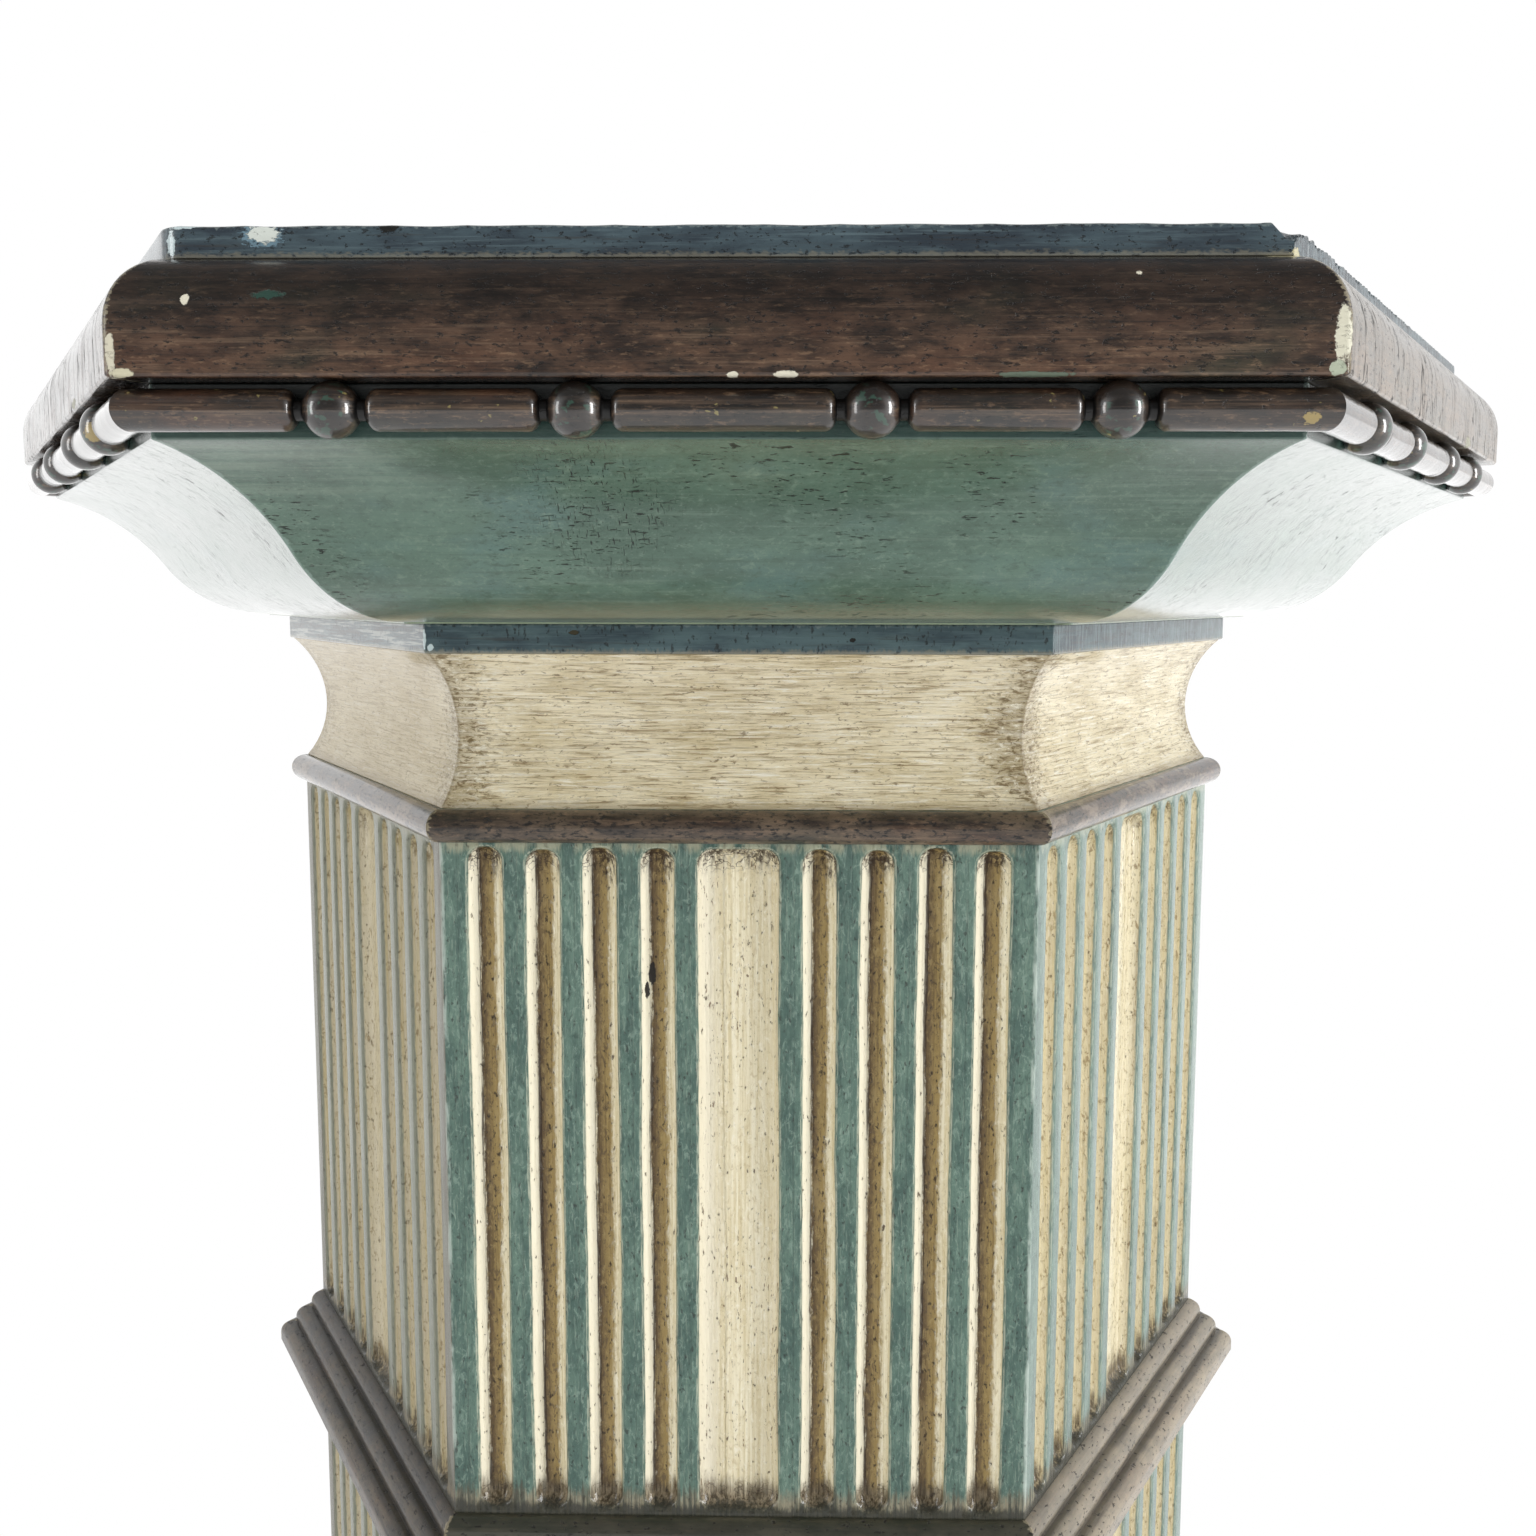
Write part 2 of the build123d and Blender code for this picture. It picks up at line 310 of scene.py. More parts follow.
# %% Brown paint
def brown_layers(f, dark, light):
    """The mottled brown itself, and the noises that drew it."""
    stroke = f.grain((42, 42, 1.1), detail=6, rough=0.66, seed=2)
    cloud = f.grain((13, 13, 5), detail=5, rough=0.66, seed=7)
    tint = f.grain((30, 30, 12), detail=3, seed=11)
    speck = f.grain((1.9, 1.9, 0.8), detail=3, rough=0.62, seed=4)
    colour = f.mix(cloud.rise(0.34, 0.66), dark, light)
    fleck = f.grain((3.6, 3.6, 0.9), detail=5, rough=0.72, twist=0.15, seed=10)
    colour = f.coats(
        colour,
        (tint.rise(0.52, 0.72) * 0.5, 46, 52, 38),
        (tint.rise(0.48, 0.28) * 0.45, 84, 52, 34),
        (stroke.rise(0.53, 0.7) * 0.5, 116, 94, 74),
        (stroke.rise(0.47, 0.33) * 0.6, 22, 17, 13),
        (fleck.rise(0.54, 0.68) * 0.4, 136, 108, 82),
        (fleck.rise(0.46, 0.34) * 0.6, 18, 14, 11),
    )
    return colour, stroke, cloud, speck


def brown_finish(
    name, tones, levels, chips=(), fade=0.5, split=0.0, dust=0.0, left_shade_and_soot=0.0, shaded_groove_levels=(), pits=0.0
):
    """Brown darkened by painted shade from the low level to the high one, with splits, painted light on the
    right side faces (the dust share), painted shade on the left side faces, soot on the front's top, painted
    shade at the given levels between beads, pits and chips."""
    f = Finish(name)
    low, high = levels
    # Painted shade: the left side faces are darkened and their varnish dulled; the same share sets the soot
    # on the front's top.
    left = f.slanted * f.x.rise(-50, -90) * left_shade_and_soot
    colour, stroke, cloud, speck = brown_layers(f, *tones)
    open_grain = f.grain((3.4, 3.4, 34), detail=4, rough=0.62, seed=9).rise(0.52, 0.6)
    crack = f.crackle((4.5, 4.5, 34), 0.02, seed=29) * f.grain((6, 6, 9), detail=3, seed=30).rise(0.47, 0.53)
    crack = crack.larger(open_grain * 0.25) * f.slanted * split
    # Painted shade: darker from the low level up to the high one, where the upper faces take more light.
    colour = f.shade(colour, 1.2 - f.z.rise(low, high) * fade)
    # Painted light: the right side faces are lightened towards a pale tan, in the dust share.
    right_side_light = f.slanted * f.x.rise(50, 90) * (0.6 + cloud * 0.8)
    colour = f.mix(right_side_light * dust, colour, paint(206, 194, 172))
    colour = f.shade(colour, 1.0 - left)
    soot = (1 - f.slanted) * (f.z + (cloud - 0.5) * 4).rise(high - 5.5, high - 2.5) * left_shade_and_soot
    colour = f.mix((soot * 3.0).smaller(0.7), colour, paint(46, 50, 38))
    # Painted shade along the given levels, in the hollows between the collar's beads.
    for level in shaded_groove_levels:
        colour = f.mix(abs(f.z - level + (stroke - 0.5) * 2).rise(1.1, 0.4) * 0.6, colour, paint(22, 19, 15))
    worn = (f.corner + (speck - 0.5) * 4.0).rise(0.5, 0.15)
    colour = f.coats(
        colour,
        (speck.rise(0.6, 0.67) * 0.8, 20, 16, 13),
        (speck.rise(0.54, 0.6) * pits, 24, 19, 15),
        (f.slanted * cloud.rise(0.5, 0.62) * pits * 0.7, 150, 136, 120),
        (crack * 0.9, 20, 17, 14),
        (worn * 0.7, 150, 140, 116),
    )
    colour, bare = f.chipped(colour, chips, f.grain((2.6, 2.6, 2.6), detail=5, rough=0.7, seed=48))
    rough = 0.4 + cloud.rise(0.3, 0.8) * 0.2
    height = stroke * 0.5 + cloud * 0.5 - speck.rise(0.6, 0.67) * 0.45 - crack * 1.4
    dull = bare + worn * 0.5 + crack + right_side_light * dust * 0.5 + left
    varnish = (0.9 - dull - speck.rise(0.62, 0.68) * 0.5).larger(0.0)
    return f.finish(colour, rough, height - bare * 0.4, 0.4, varnish, gloss=0.4, haze=0.14)


cream_chip = paint(222, 216, 196)
cushion_chips = [
    ((-104.2, -208, 1083.5), (0.9, 1.5, 1.5), cream_chip),
    ((80.3, -203, 1088.3), (0.8, 1.5, 0.7), cream_chip),
    ((12, -208, 1068.9), (2.4, 2, 0.7), cream_chip),
    ((2, -208, 1068.9), (1.2, 2, 0.6), cream_chip),
    ((-118.9, -207, 1073.0), (1.1, 2.2, 4.6), paint(212, 206, 184)),
    ((-117.0, -207, 1069.3), (2.4, 2.2, 0.9), paint(206, 200, 172)),
    ((118.7, -207, 1076.3), (1.7, 2.5, 5.4), paint(214, 211, 190)),
    ((117.8, -207, 1070.0), (1.6, 2.5, 1.4), paint(176, 184, 162)),
    ((114, -195, 1093.3), (7.0, 3.5, 0.8), paint(206, 198, 160)),
    ((-88, -208, 1084.5), (4.0, 2, 1.2), paint(40, 70, 60)),
    ((60, -208, 1068.8), (7.0, 2, 0.6), paint(96, 108, 92)),
    ((-150, -151, 1070), (5, 5, 1.2), paint(160, 158, 140)),
    ((205, -60, 1070), (4, 5, 1.6), paint(160, 158, 140)),
    ((-30, 208, 1070), (5, 2, 1.0), cream_chip),
]
cushion_tones = paint(40, 28, 21), paint(84, 60, 43)
# The cushion's fade is painted shade towards its top, and its dust is painted light on its right faces.
cushion_looks = {"fade": 0.85, "split": 1.0, "dust": 0.22}
cushion_brown = brown_finish("brown_on_cushion", cushion_tones, (1070, 1088), cushion_chips, **cushion_looks)
astragal_tones = paint(50, 40, 32), paint(98, 82, 65)
astragal_brown = brown_finish("brown_on_astragal", astragal_tones, (960, 984), pits=0.7)
collar_tones = paint(58, 52, 44), paint(116, 104, 86)
# The collar's looks: painted shade towards the top, painted light on the right faces, and painted shade on
# the left faces and between its beads.
collar_looks = {"fade": 0.6, "dust": 0.34, "left_shade_and_soot": 0.4, "shaded_groove_levels": (780.2, 774.6)}
collar_brown = brown_finish("brown_on_collar", collar_tones, (767, 785.5), **collar_looks)

# %% Brown paint on the beads
f = Finish("brown_on_beads")
colour, stroke, cloud, speck = brown_layers(f, paint(8, 6, 5), paint(54, 41, 31))
rise_z = f.z - 1062.7
from_axis = ((f.out - 203.3) * (f.out - 203.3) + rise_z * rise_z) ** 0.5
bead = from_axis.rise(4.45, 4.8)
# Painted highlight along the middle of each reel, where its round faces outward.
reel_highlight = (1 - bead) * (abs(rise_z + (cloud - 0.5) * 3) * -1.0 + 2.6).rise(0.0, 2.0) * from_axis.rise(3.9, 4.4)
green_spot = f.grain((2.6, 2.6, 2.0), detail=3, seed=18).rise(0.56, 0.62) * bead
yellow_spot = f.grain((3.6, 3.6, 2.6), detail=3, seed=19).rise(0.69, 0.72)
colour = f.coats(
    colour,
    (bead * 0.65, 24, 19, 16),
    (reel_highlight * stroke.rise(0.42, 0.62) * 0.5, 122, 98, 76),
    (green_spot * 0.8, 44, 78, 64),
    (yellow_spot * 0.7, 150, 138, 84),
)
for centre, reach in (((113.5, -207, 1061.0), (1.6, 3, 1.5)), ((-138, -173, 1061.5), (2.6, 3, 2.0))):
    colour = f.mix(f.mark(centre, reach, speck) * 0.85, colour, paint(168, 146, 84))
# Painted shade: near black in the necks between beads and reels, and along the rod's top under the cushion.
painted_neck_shade = from_axis.rise(3.1, 2.5)
shade_under_cushion = rise_z.rise(3.0, 4.6)
colour = f.coats(
    colour,
    (painted_neck_shade.larger(shade_under_cushion * 0.75), 10, 9, 8),
    (speck.rise(0.6, 0.68) * 0.7, 16, 13, 11),
)
bead_height = stroke * 0.4 + cloud * 0.6 - speck.rise(0.6, 0.68) * 0.4
bead_brown = f.finish(colour, 0.3 + cloud * 0.2, bead_height, 0.25, 1.0 - painted_neck_shade, gloss=0.5, coat=1.6)

# %% [markdown]
# ## Green paint on the cyma
# A green worn thin on a big hollow moulding: long pale strokes run across it from side to side, and
# open pores of the wood show as short dark dashes along the grain.

# %% Green paint
f = Finish("green_on_cyma")
stroke = f.grain((48, 48, 1.3), detail=6, rough=0.68, twist=0.2, seed=6)
cloud = f.grain((38, 38, 15), detail=5, rough=0.6, seed=12)
blue_cloud = f.grain((30, 30, 12), detail=4, seed=13)
mottle = f.grain((3.6, 3.6, 1.9), detail=6, rough=0.72, twist=0.5, seed=20)
grit = f.grain((1.1, 1.1, 0.6), detail=4, rough=0.68, seed=36)
colour = f.mix(cloud.rise(0.3, 0.7), paint(66, 93, 78), paint(88, 117, 101))
colour = f.coats(
    colour,
    (blue_cloud.rise(0.5, 0.72) * 0.5, 82, 116, 114),
    (mottle.rise(0.52, 0.68) * 0.42, 118, 142, 124),
    (mottle.rise(0.47, 0.34) * 0.5, 52, 76, 62),
    (stroke.rise(0.54, 0.7) * 0.26, 128, 150, 134),
    (stroke.rise(0.46, 0.32) * 0.32, 54, 76, 62),
    (grit.rise(0.58, 0.68) * 0.4, 48, 68, 56),
    (grit.rise(0.42, 0.32) * 0.3, 132, 152, 136),
)
print("green: strokes, clouds and mottling")

# %% Green paint: pores, cracks and edges
pore = f.grain((3.0, 3.0, 0.5), detail=3, rough=0.6, seed=14)
upright = f.grain((0.45, 3.0, 2.6), detail=3, rough=0.6, seed=38)
pore_patch = f.grain((26, 60, 20), detail=3, seed=15).rise(0.49, 0.62)
cluster = f.mark((-28, -170, 1046), (13, 60, 12), cloud, edge=0.5)
dark_pore = (pore.rise(0.61, 0.66) * pore_patch.larger(cluster)).larger(upright.rise(0.62, 0.66) * cluster)
slope_pore = f.grain((4.5, 4.5, 9.0), detail=4, rough=0.62, seed=16)
slope_patch = f.grain((40, 40, 16), detail=3, seed=17).rise(0.44, 0.6)
slope_streak = f.grain((3.0, 3.0, 40), detail=5, rough=0.66, seed=37) * f.slanted
slope_crack = f.crackle((7, 7, 44), 0.012, seed=39) * slope_patch
on_slope = f.slanted * (slope_pore.rise(0.64, 0.68) * slope_patch).larger(slope_crack * 0.4)
dark_pore = (dark_pore * (1 - f.slanted)).larger(on_slope)
haze = f.mark((-92, -180, 1054), (34, 60, 7), stroke, edge=0.6)
lip_shadow = (f.z + (stroke - 0.5) * 3).rise(1056.6, 1058.2)
foot = (f.z + (stroke - 0.5) * 4).rise(1027.0, 1024.0)
foot_line = (f.z + (stroke - 0.5) * 1.5).rise(1020.9, 1020.3)
edge = (f.corner + (mottle - 0.5) * 3).rise(0.8, 0.3)
colour = f.coats(
    colour,
    (dark_pore * 0.92, 24, 34, 28),
    (haze * stroke.rise(0.42, 0.6) * 0.15, 170, 180, 160),
    (lip_shadow * 0.7, 46, 72, 70),
    # Painted shade: near black behind the rods, under the cushion.
    (f.z.rise(1061.5, 1064.0) * 0.9, 16, 20, 18),
    (foot * 0.35, 50, 70, 54),
    (foot_line * 0.6, 150, 164, 132),
    (edge * 0.45, 150, 172, 164),
)
roughness = 0.2 + cloud.rise(0.3, 0.8) * 0.08
height = stroke * 0.5 + mottle * 0.5 + cloud * 0.4 - dark_pore * 1.2
broken = (dark_pore * 0.9).larger(slope_streak.rise(0.54, 0.68) * 0.4)
cyma_green = f.finish(colour, roughness, height, 0.3, 0.85 - broken * 0.85, gloss=0.42, haze=0.2)

# %% [markdown]
# ## Cream paint on the cove
# Thick cream was dragged round the hollow with a stiff brush, and the ridges of its bristles still
# stand. Brown dirt has settled between them, most of all at the corners.

# %% Cream paint
f = Finish("cream_on_cove")
bristle = f.grain((13, 13, 0.6), detail=6, rough=0.7, twist=0.8, seed=21)
drag = f.grain((40, 40, 1.8), detail=4, rough=0.6, seed=24)
cloud = f.grain((20, 20, 9), detail=5, rough=0.6, seed=22)
dab = f.grain((2.6, 2.6, 0.9), detail=5, rough=0.7, twist=0.6, seed=23)
corner_dirt = (f.corner + (dab - 0.5) * 24 + (cloud - 0.5) * 16).rise(9.0, 1.0)
colour = f.mix(cloud.rise(0.3, 0.7), paint(222, 206, 166), paint(248, 236, 204))
crust = (f.corner + (cloud - 0.5) * 20).rise(15, 2) * dab.rise(0.5, 0.58)
mitre = (f.corner + (dab - 0.5) * 3.0).rise(0.6, 0.2)
foot = (f.z - shaft_top + (dab - 0.5) * 5).rise(3.0, 0.5)
colour = f.coats(
    colour,
    (bristle.rise(0.48, 0.38) * 0.75, 146, 122, 80),
    (bristle.rise(0.53, 0.64) * 0.7, 254, 250, 236),
    (drag.rise(0.45, 0.3) * 0.3, 172, 152, 112),
    (dab.rise(0.57, 0.66) * 0.75, 122, 99, 62),
    (dab.rise(0.42, 0.32) * 0.5, 250, 244, 226),
    ((corner_dirt * 0.4).larger(crust * 0.85), 122, 102, 64),
    (f.corner.rise(18, 3) * dab.rise(0.46, 0.36) * 0.8, 252, 246, 226),
    (mitre * 0.35, 120, 100, 66),
    (foot * 0.45, 126, 108, 76),
    # Painted shade: the left side faces are made darker and warmer.
    (f.slanted * f.x.rise(-60, -85) * 0.5, 180, 160, 118),
)
roughness = 0.45 + bristle * 0.2
height = bristle * 1.2 + drag * 0.4 + dab * 0.8
cove_cream = f.finish(colour, roughness, height, depth=0.6, varnish=0.6)

# %% [markdown]
# ## The fluted boards
# The ribs are green, and the flutes cream under a brown glaze along their middle, with painted shade over it
# on the right walls and painted light on the left walls. The mesh of each board says where its flutes are: it
# carries the place across a flute, how deep it is, and how far the flute's ends are.

# %% Shaft paint: where things are
f = Finish("paint_on_shaft")
across = f.attribute("across")
hollow = f.attribute("hollow")
wide = f.attribute("wide")
end = f.attribute("end") / MM
streak = f.grain((0.9, 0.9, 42), detail=6, rough=0.66, seed=31)
fine = f.grain((0.5, 0.5, 5), detail=4, rough=0.66, twist=0.5, seed=32)
blotch = f.grain((5, 5, 20), detail=5, rough=0.64, seed=33)
speck = f.grain((0.9, 0.9, 2.0), detail=4, rough=0.62, seed=34)
tilt = f.grain((6, 6, 60), detail=3, seed=35)
mottle = f.grain((1.3, 1.3, 2.6), detail=5, rough=0.7, twist=0.8, seed=45)
# Painted light and shade: the slanting side faces take tones that their lighting gives them when seen at a
# slant.
painted_side_light = f.slanted * abs(f.x).rise(50, 80)
print("patterns of the shaft read from the board's own numbers")

# %% Shaft paint: green ribs
green = f.mix(blotch.rise(0.33, 0.68), paint(62, 91, 82), paint(95, 123, 109))
smear = (shaft_top - 8.5 - f.z + (fine - 0.5) * 5).rise(3.2, 0.6) * blotch.rise(0.4, 0.55)
green = f.coats(
    green,
    (mottle.rise(0.52, 0.66) * 0.55, 136, 160, 146),
    (mottle.rise(0.46, 0.34) * 0.55, 40, 64, 58),
    (fine.rise(0.54, 0.68) * 0.35, 150, 166, 150),
    (streak.rise(0.44, 0.32) * 0.3, 48, 72, 64),
    (speck.rise(0.62, 0.69) * 0.7, 40, 50, 44),
    (smear * 0.7, 178, 176, 148),
)

# %% Shaft paint: cream flutes, their glaze, painted light and painted shade
cream = f.mix(streak.rise(0.34, 0.66), paint(216, 202, 162), paint(246, 238, 210))
# Painted light: the flutes' left walls, which face the stronger lamp on the right, are lightened nearly to
# white.
lit_left_wall = (-0.66 - across + (fine - 0.5) * 0.2).rise(-0.25, 0.1)
lit_narrow_left = (-0.4 - across + (fine - 0.5) * 0.2).rise(-0.15, 0.12) * (1 - wide)
cream = f.coats(
    cream,
    (mottle.rise(0.53, 0.68) * 0.5, 184, 164, 118),
    (mottle.rise(0.45, 0.34) * 0.5, 254, 249, 232),
    ((lit_left_wall * 0.8).larger(lit_narrow_left * 0.7), 246, 240, 218),
)
middle = (tilt - 0.5) * 0.3
from_left = (across - middle + 0.45 + (fine - 0.5) * 0.5 + (mottle - 0.5) * 0.4).rise(-0.06, 0.08)
from_right = (middle + 0.46 - across + (fine - 0.5) * 0.5 + (mottle - 0.5) * 0.6).rise(-0.16, 0.16)
# Brown glaze along each flute's middle together with painted shade on its right wall; its colour is darkest
# at its left edge, a painted shadow of the left wall, and tan to the right.
glaze_and_shade = from_left * from_right * (1 - wide)
shade_across_glaze = (across + (fine - 0.5) * 0.5).rise(-0.4, 0.25)
glaze_and_shade_colour = f.mix(shade_across_glaze, paint(86, 60, 24), paint(164, 138, 78))
glaze_and_shade_colour = f.coats(
    glaze_and_shade_colour,
    (streak.rise(0.5, 0.36) * 0.5, 90, 68, 32),
    (mottle.rise(0.52, 0.66) * 0.45, 188, 166, 112),
    (mottle.rise(0.47, 0.37) * 0.7, 78, 54, 22),
    (blotch.rise(0.55, 0.68) * 0.4, 180, 158, 108),
    (speck.rise(0.56, 0.64) * 0.8, 52, 38, 22),
)
inside = f.mix(glaze_and_shade * 0.95, cream, glaze_and_shade_colour)
wide_streak = wide * (streak * 0.8 + abs(across - 0.15) * 0.3).rise(0.5, 0.72)
dash = f.grain((0.7, 0.7, 2.6), detail=3, rough=0.6, twist=0.3, seed=46).rise(0.61, 0.65)
dash = dash * f.grain((5, 5, 26), detail=2, seed=47).rise(0.46, 0.56)
line = (abs(across - middle + 0.43 + (fine - 0.5) * 0.12) * -1.0 + 0.12).rise(0.0, 0.06)
right_line = (across + (fine - 0.5) * 0.1).rise(0.9, 0.97) * streak.rise(0.46, 0.56)
dirt = (end + (blotch - 0.5) * 26).rise(8.5, 0.5) * (speck * 0.7 + streak * 0.5).rise(0.5, 0.64)
foot_dirt = (end + (blotch - 0.5) * 16).rise(9, 2) * f.z.rise(800, 796)
end_crack = f.crackle((3.4, 3.4, 2.4), 0.03, seed=40) * end.rise(8, 3) * end.rise(0.4, 0.9)
inside = f.coats(
    inside,
    (wide_streak * 0.2, 166, 146, 104),
    (dash * wide * 0.85, 104, 76, 44),
    (line * (1 - wide) * streak.rise(0.45, 0.56) * 0.9, 54, 36, 18),
    (right_line * 0.6, 112, 88, 52),
    (dirt * 0.9, 60, 44, 24),
    (foot_dirt * 0.6, 96, 78, 50),
    (speck.rise(0.64, 0.69) * 0.85, 74, 50, 26),
    (end_crack * 0.85, 58, 40, 22),
)
# Painted shade: the left side faces are browner and darker, and the slanting faces' flutes ochre with pale
# patches, as their lighting shows them at a slant.
painted_left_shade = f.slanted * f.x.rise(-50, -80)
ochre = f.mix(streak.rise(0.4, 0.6), paint(150, 130, 82), paint(206, 190, 142))
inside = f.mix(painted_side_light * (0.3 + streak.rise(0.46, 0.58) * 0.5) * (1 - wide * 0.7), inside, ochre)
inside = f.coats(
    inside,
    (painted_side_light * blotch.rise(0.5, 0.6) * 0.5, 222, 210, 172),
    (painted_side_light * mottle.rise(0.54, 0.64) * 0.6, 126, 100, 56),
    (painted_left_shade * 0.35, 140, 124, 86),
)

# %% Shaft paint: edges, cracks and grime
lip = hollow + (fine - 0.5) * 0.3
colour = f.mix(lip.rise(0.14, 0.34), green, inside)
rim = hollow.rise(0.01, 0.06) * hollow.rise(0.2, 0.1) * fine.rise(0.42, 0.56)
strip = painted_left_shade * f.corner.rise(11, 6) * (1 - hollow.rise(0.0, 0.1))
# Painted highlight: a pale line along each corner of the shaft, where its rounded arris catches the light.
arris = (f.corner + (fine - 0.5) * 1.2).rise(0.9, 0.3) * (1 - hollow.rise(0.0, 0.1))
# Painted reflection on the side faces' ribs, and painted shade on the left faces' ribs and along the strip by
# their corner.
colour = f.coats(
    colour,
    (rim * (0.5 - painted_left_shade * 0.3), 206, 206, 184),
    (painted_side_light * (1 - lip.rise(0.14, 0.34)) * 0.3, 168, 186, 178),
    (painted_left_shade * (1 - lip.rise(0.14, 0.34)) * 0.55, 136, 124, 102),
    (strip * (0.35 + streak.rise(0.44, 0.56) * 0.4), 84, 74, 56),
    (arris * blotch.rise(0.42, 0.56) * 0.6, 196, 208, 198),
)
for centre, reach in (
    ((-22.2, -127, 930.6), (0.9, 3, 2.8)),
    ((-23.4, -127, 926.5), (0.5, 3, 2.4)),
):
    colour = f.mix(f.mark(centre, reach, speck), colour, paint(30, 22, 14))
feather = (f.z + (streak - 0.5) * 14 + (speck - 0.5) * 6).rise(794.0, 789.5) * f.z.rise(783, 785)
feather_tone = f.mix(streak.rise(0.42, 0.58), paint(72, 62, 44), paint(158, 144, 118))
colour = f.mix(feather * 0.75, colour, feather_tone)
grime = (f.z + (blotch - 0.5) * 6 + (speck - 0.5) * 4).rise(789.5, 787.0) * f.z.rise(783, 785)
colour = f.mix(grime * 0.9, colour, paint(44, 45, 36))
roughness = 0.38 + blotch.rise(0.3, 0.8) * 0.15 + dirt * 0.2
height = streak * 0.5 + mottle * 0.6 + fine * 0.3 - speck.rise(0.62, 0.69) * 0.6 + blotch * 0.4 - line * 0.5
dull = (dirt * 0.6).larger(glaze_and_shade * hollow * 0.4).larger(painted_left_shade * 0.35)
shaft_paint = f.finish(colour, roughness, height, depth=0.5, varnish=0.8 - dull)

# %% [markdown]
# ## Green boards at the foot, and bare wood inside
# The plinth's boards are painted as the ribs are, with brush strokes along them and scuffs along
# the floor. Only the two blocks inside the shaft are bare softwood.

# %% Plinth paint and bare wood
f = Finish("green_on_plinth")
stroke = f.grain((70, 70, 2.4), detail=5, rough=0.6, seed=41)
cloud = f.grain((40, 40, 20), detail=4, seed=42)
speck = f.grain((2.4, 2.4, 1.4), detail=3, seed=43)
colour = f.mix(cloud.rise(0.3, 0.7), paint(84, 106, 95), paint(100, 122, 110))
scuff = (f.z + (speck - 0.5) * 40).rise(9, 2).larger((f.corner + (speck - 0.5) * 7).rise(1.2, 0.6))
colour = f.coats(
    colour,
    (stroke.rise(0.55, 0.78) * 0.4, 128, 144, 132),
    (scuff * 0.7, 128, 116, 92),
    (speck.rise(0.65, 0.72) * 0.6, 52, 58, 50),
)
plinth_green = f.finish(colour, 0.3 + cloud * 0.2, stroke * 0.5 + cloud * 0.3, depth=0.4)

f = Finish("bare_softwood")
ring = f.grain((4, 60, 60), detail=4, twist=1.2, seed=51)
pore = f.grain((14, 1.0, 1.0), detail=3, seed=52)
colour = f.mix(ring.rise(0.35, 0.65), paint(176, 146, 104), paint(208, 182, 140))
colour = f.mix(pore.rise(0.55, 0.75) * 0.5, colour, paint(128, 98, 62))
bare_wood = f.finish(colour, 0.6 + ring * 0.1, ring * 0.4 + pore * 0.4, depth=0.3)

# %% [markdown]
# ## Boards with soft arrises
# No board on an old column keeps a knife edge. Each plain board is a copy of its solid, merged into one
# shell, with its sharp edges rounded by a narrow bevel. Only edges sharper than a curve's facets are
# taken, so that the coves and quarter rounds stay as they are.


# %% Softened copies
def stand_in(piece, node, material):
    """The piece takes its node's place on the body, and the node is hidden."""
    piece.data.materials.clear()
    piece.data.materials.append(material)
    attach(piece, "root")
    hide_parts(node)


def link_mesh(name, mesh):
    piece = bpy.data.objects.new(name, mesh)
    bpy.context.scene.collection.objects.link(piece)
    return piece


def baked(piece):
    """Turns what the modifiers make into the piece's own mesh, and takes them off."""
    bpy.context.view_layer.update()
    graph = bpy.context.evaluated_depsgraph_get()
    piece.data = bpy.data.meshes.new_from_object(piece.evaluated_get(graph))
    piece.modifiers.clear()


def smoothed(mesh, bend):
    """Shades a mesh smooth, apart from edges that bend more than this many degrees."""
    mesh.shade_smooth()
    mesh.set_sharp_from_angle(angle=np.radians(bend))


def mesh_of(shell, name):
    """The shell that was being edited, as a mesh of its own."""
    mesh = bpy.data.meshes.new(name)
    shell.to_mesh(mesh)
    shell.free()
    return mesh


def levelled(piece):
    """Keeps the shading of large faces flat, whatever narrow rounding they meet."""
    even = piece.modifiers.new("even", "WEIGHTED_NORMAL")
    even.mode = "FACE_AREA"
    even.weight = 100
    even.keep_sharp = True
    baked(piece)


SHARP_BEND, SHARP_SHADE, FLUSH = 28, 35, 1


def softened(node, width, weld, slot_name, material):
    """A copy of the solid with its close points welded, its flat faces joined and its arrises rounded."""
    shell = bmesh.new()
    shell.from_mesh(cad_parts[node].data)
    bmesh.ops.remove_doubles(shell, verts=shell.verts, dist=weld * MM)
    bmesh.ops.dissolve_limit(shell, angle_limit=np.radians(FLUSH), verts=shell.verts, edges=shell.edges)
    piece = link_mesh(node + "_soft", mesh_of(shell, node + "_soft"))
    bevel = piece.modifiers.new("arris", "BEVEL")
    bevel.width = width * MM
    bevel.segments = 3
    bevel.limit_method = "ANGLE"
    bevel.angle_limit = np.radians(SHARP_BEND)
    baked(piece)
    smoothed(piece.data, SHARP_SHADE)
    levelled(piece)
    stand_in(piece, node, material)


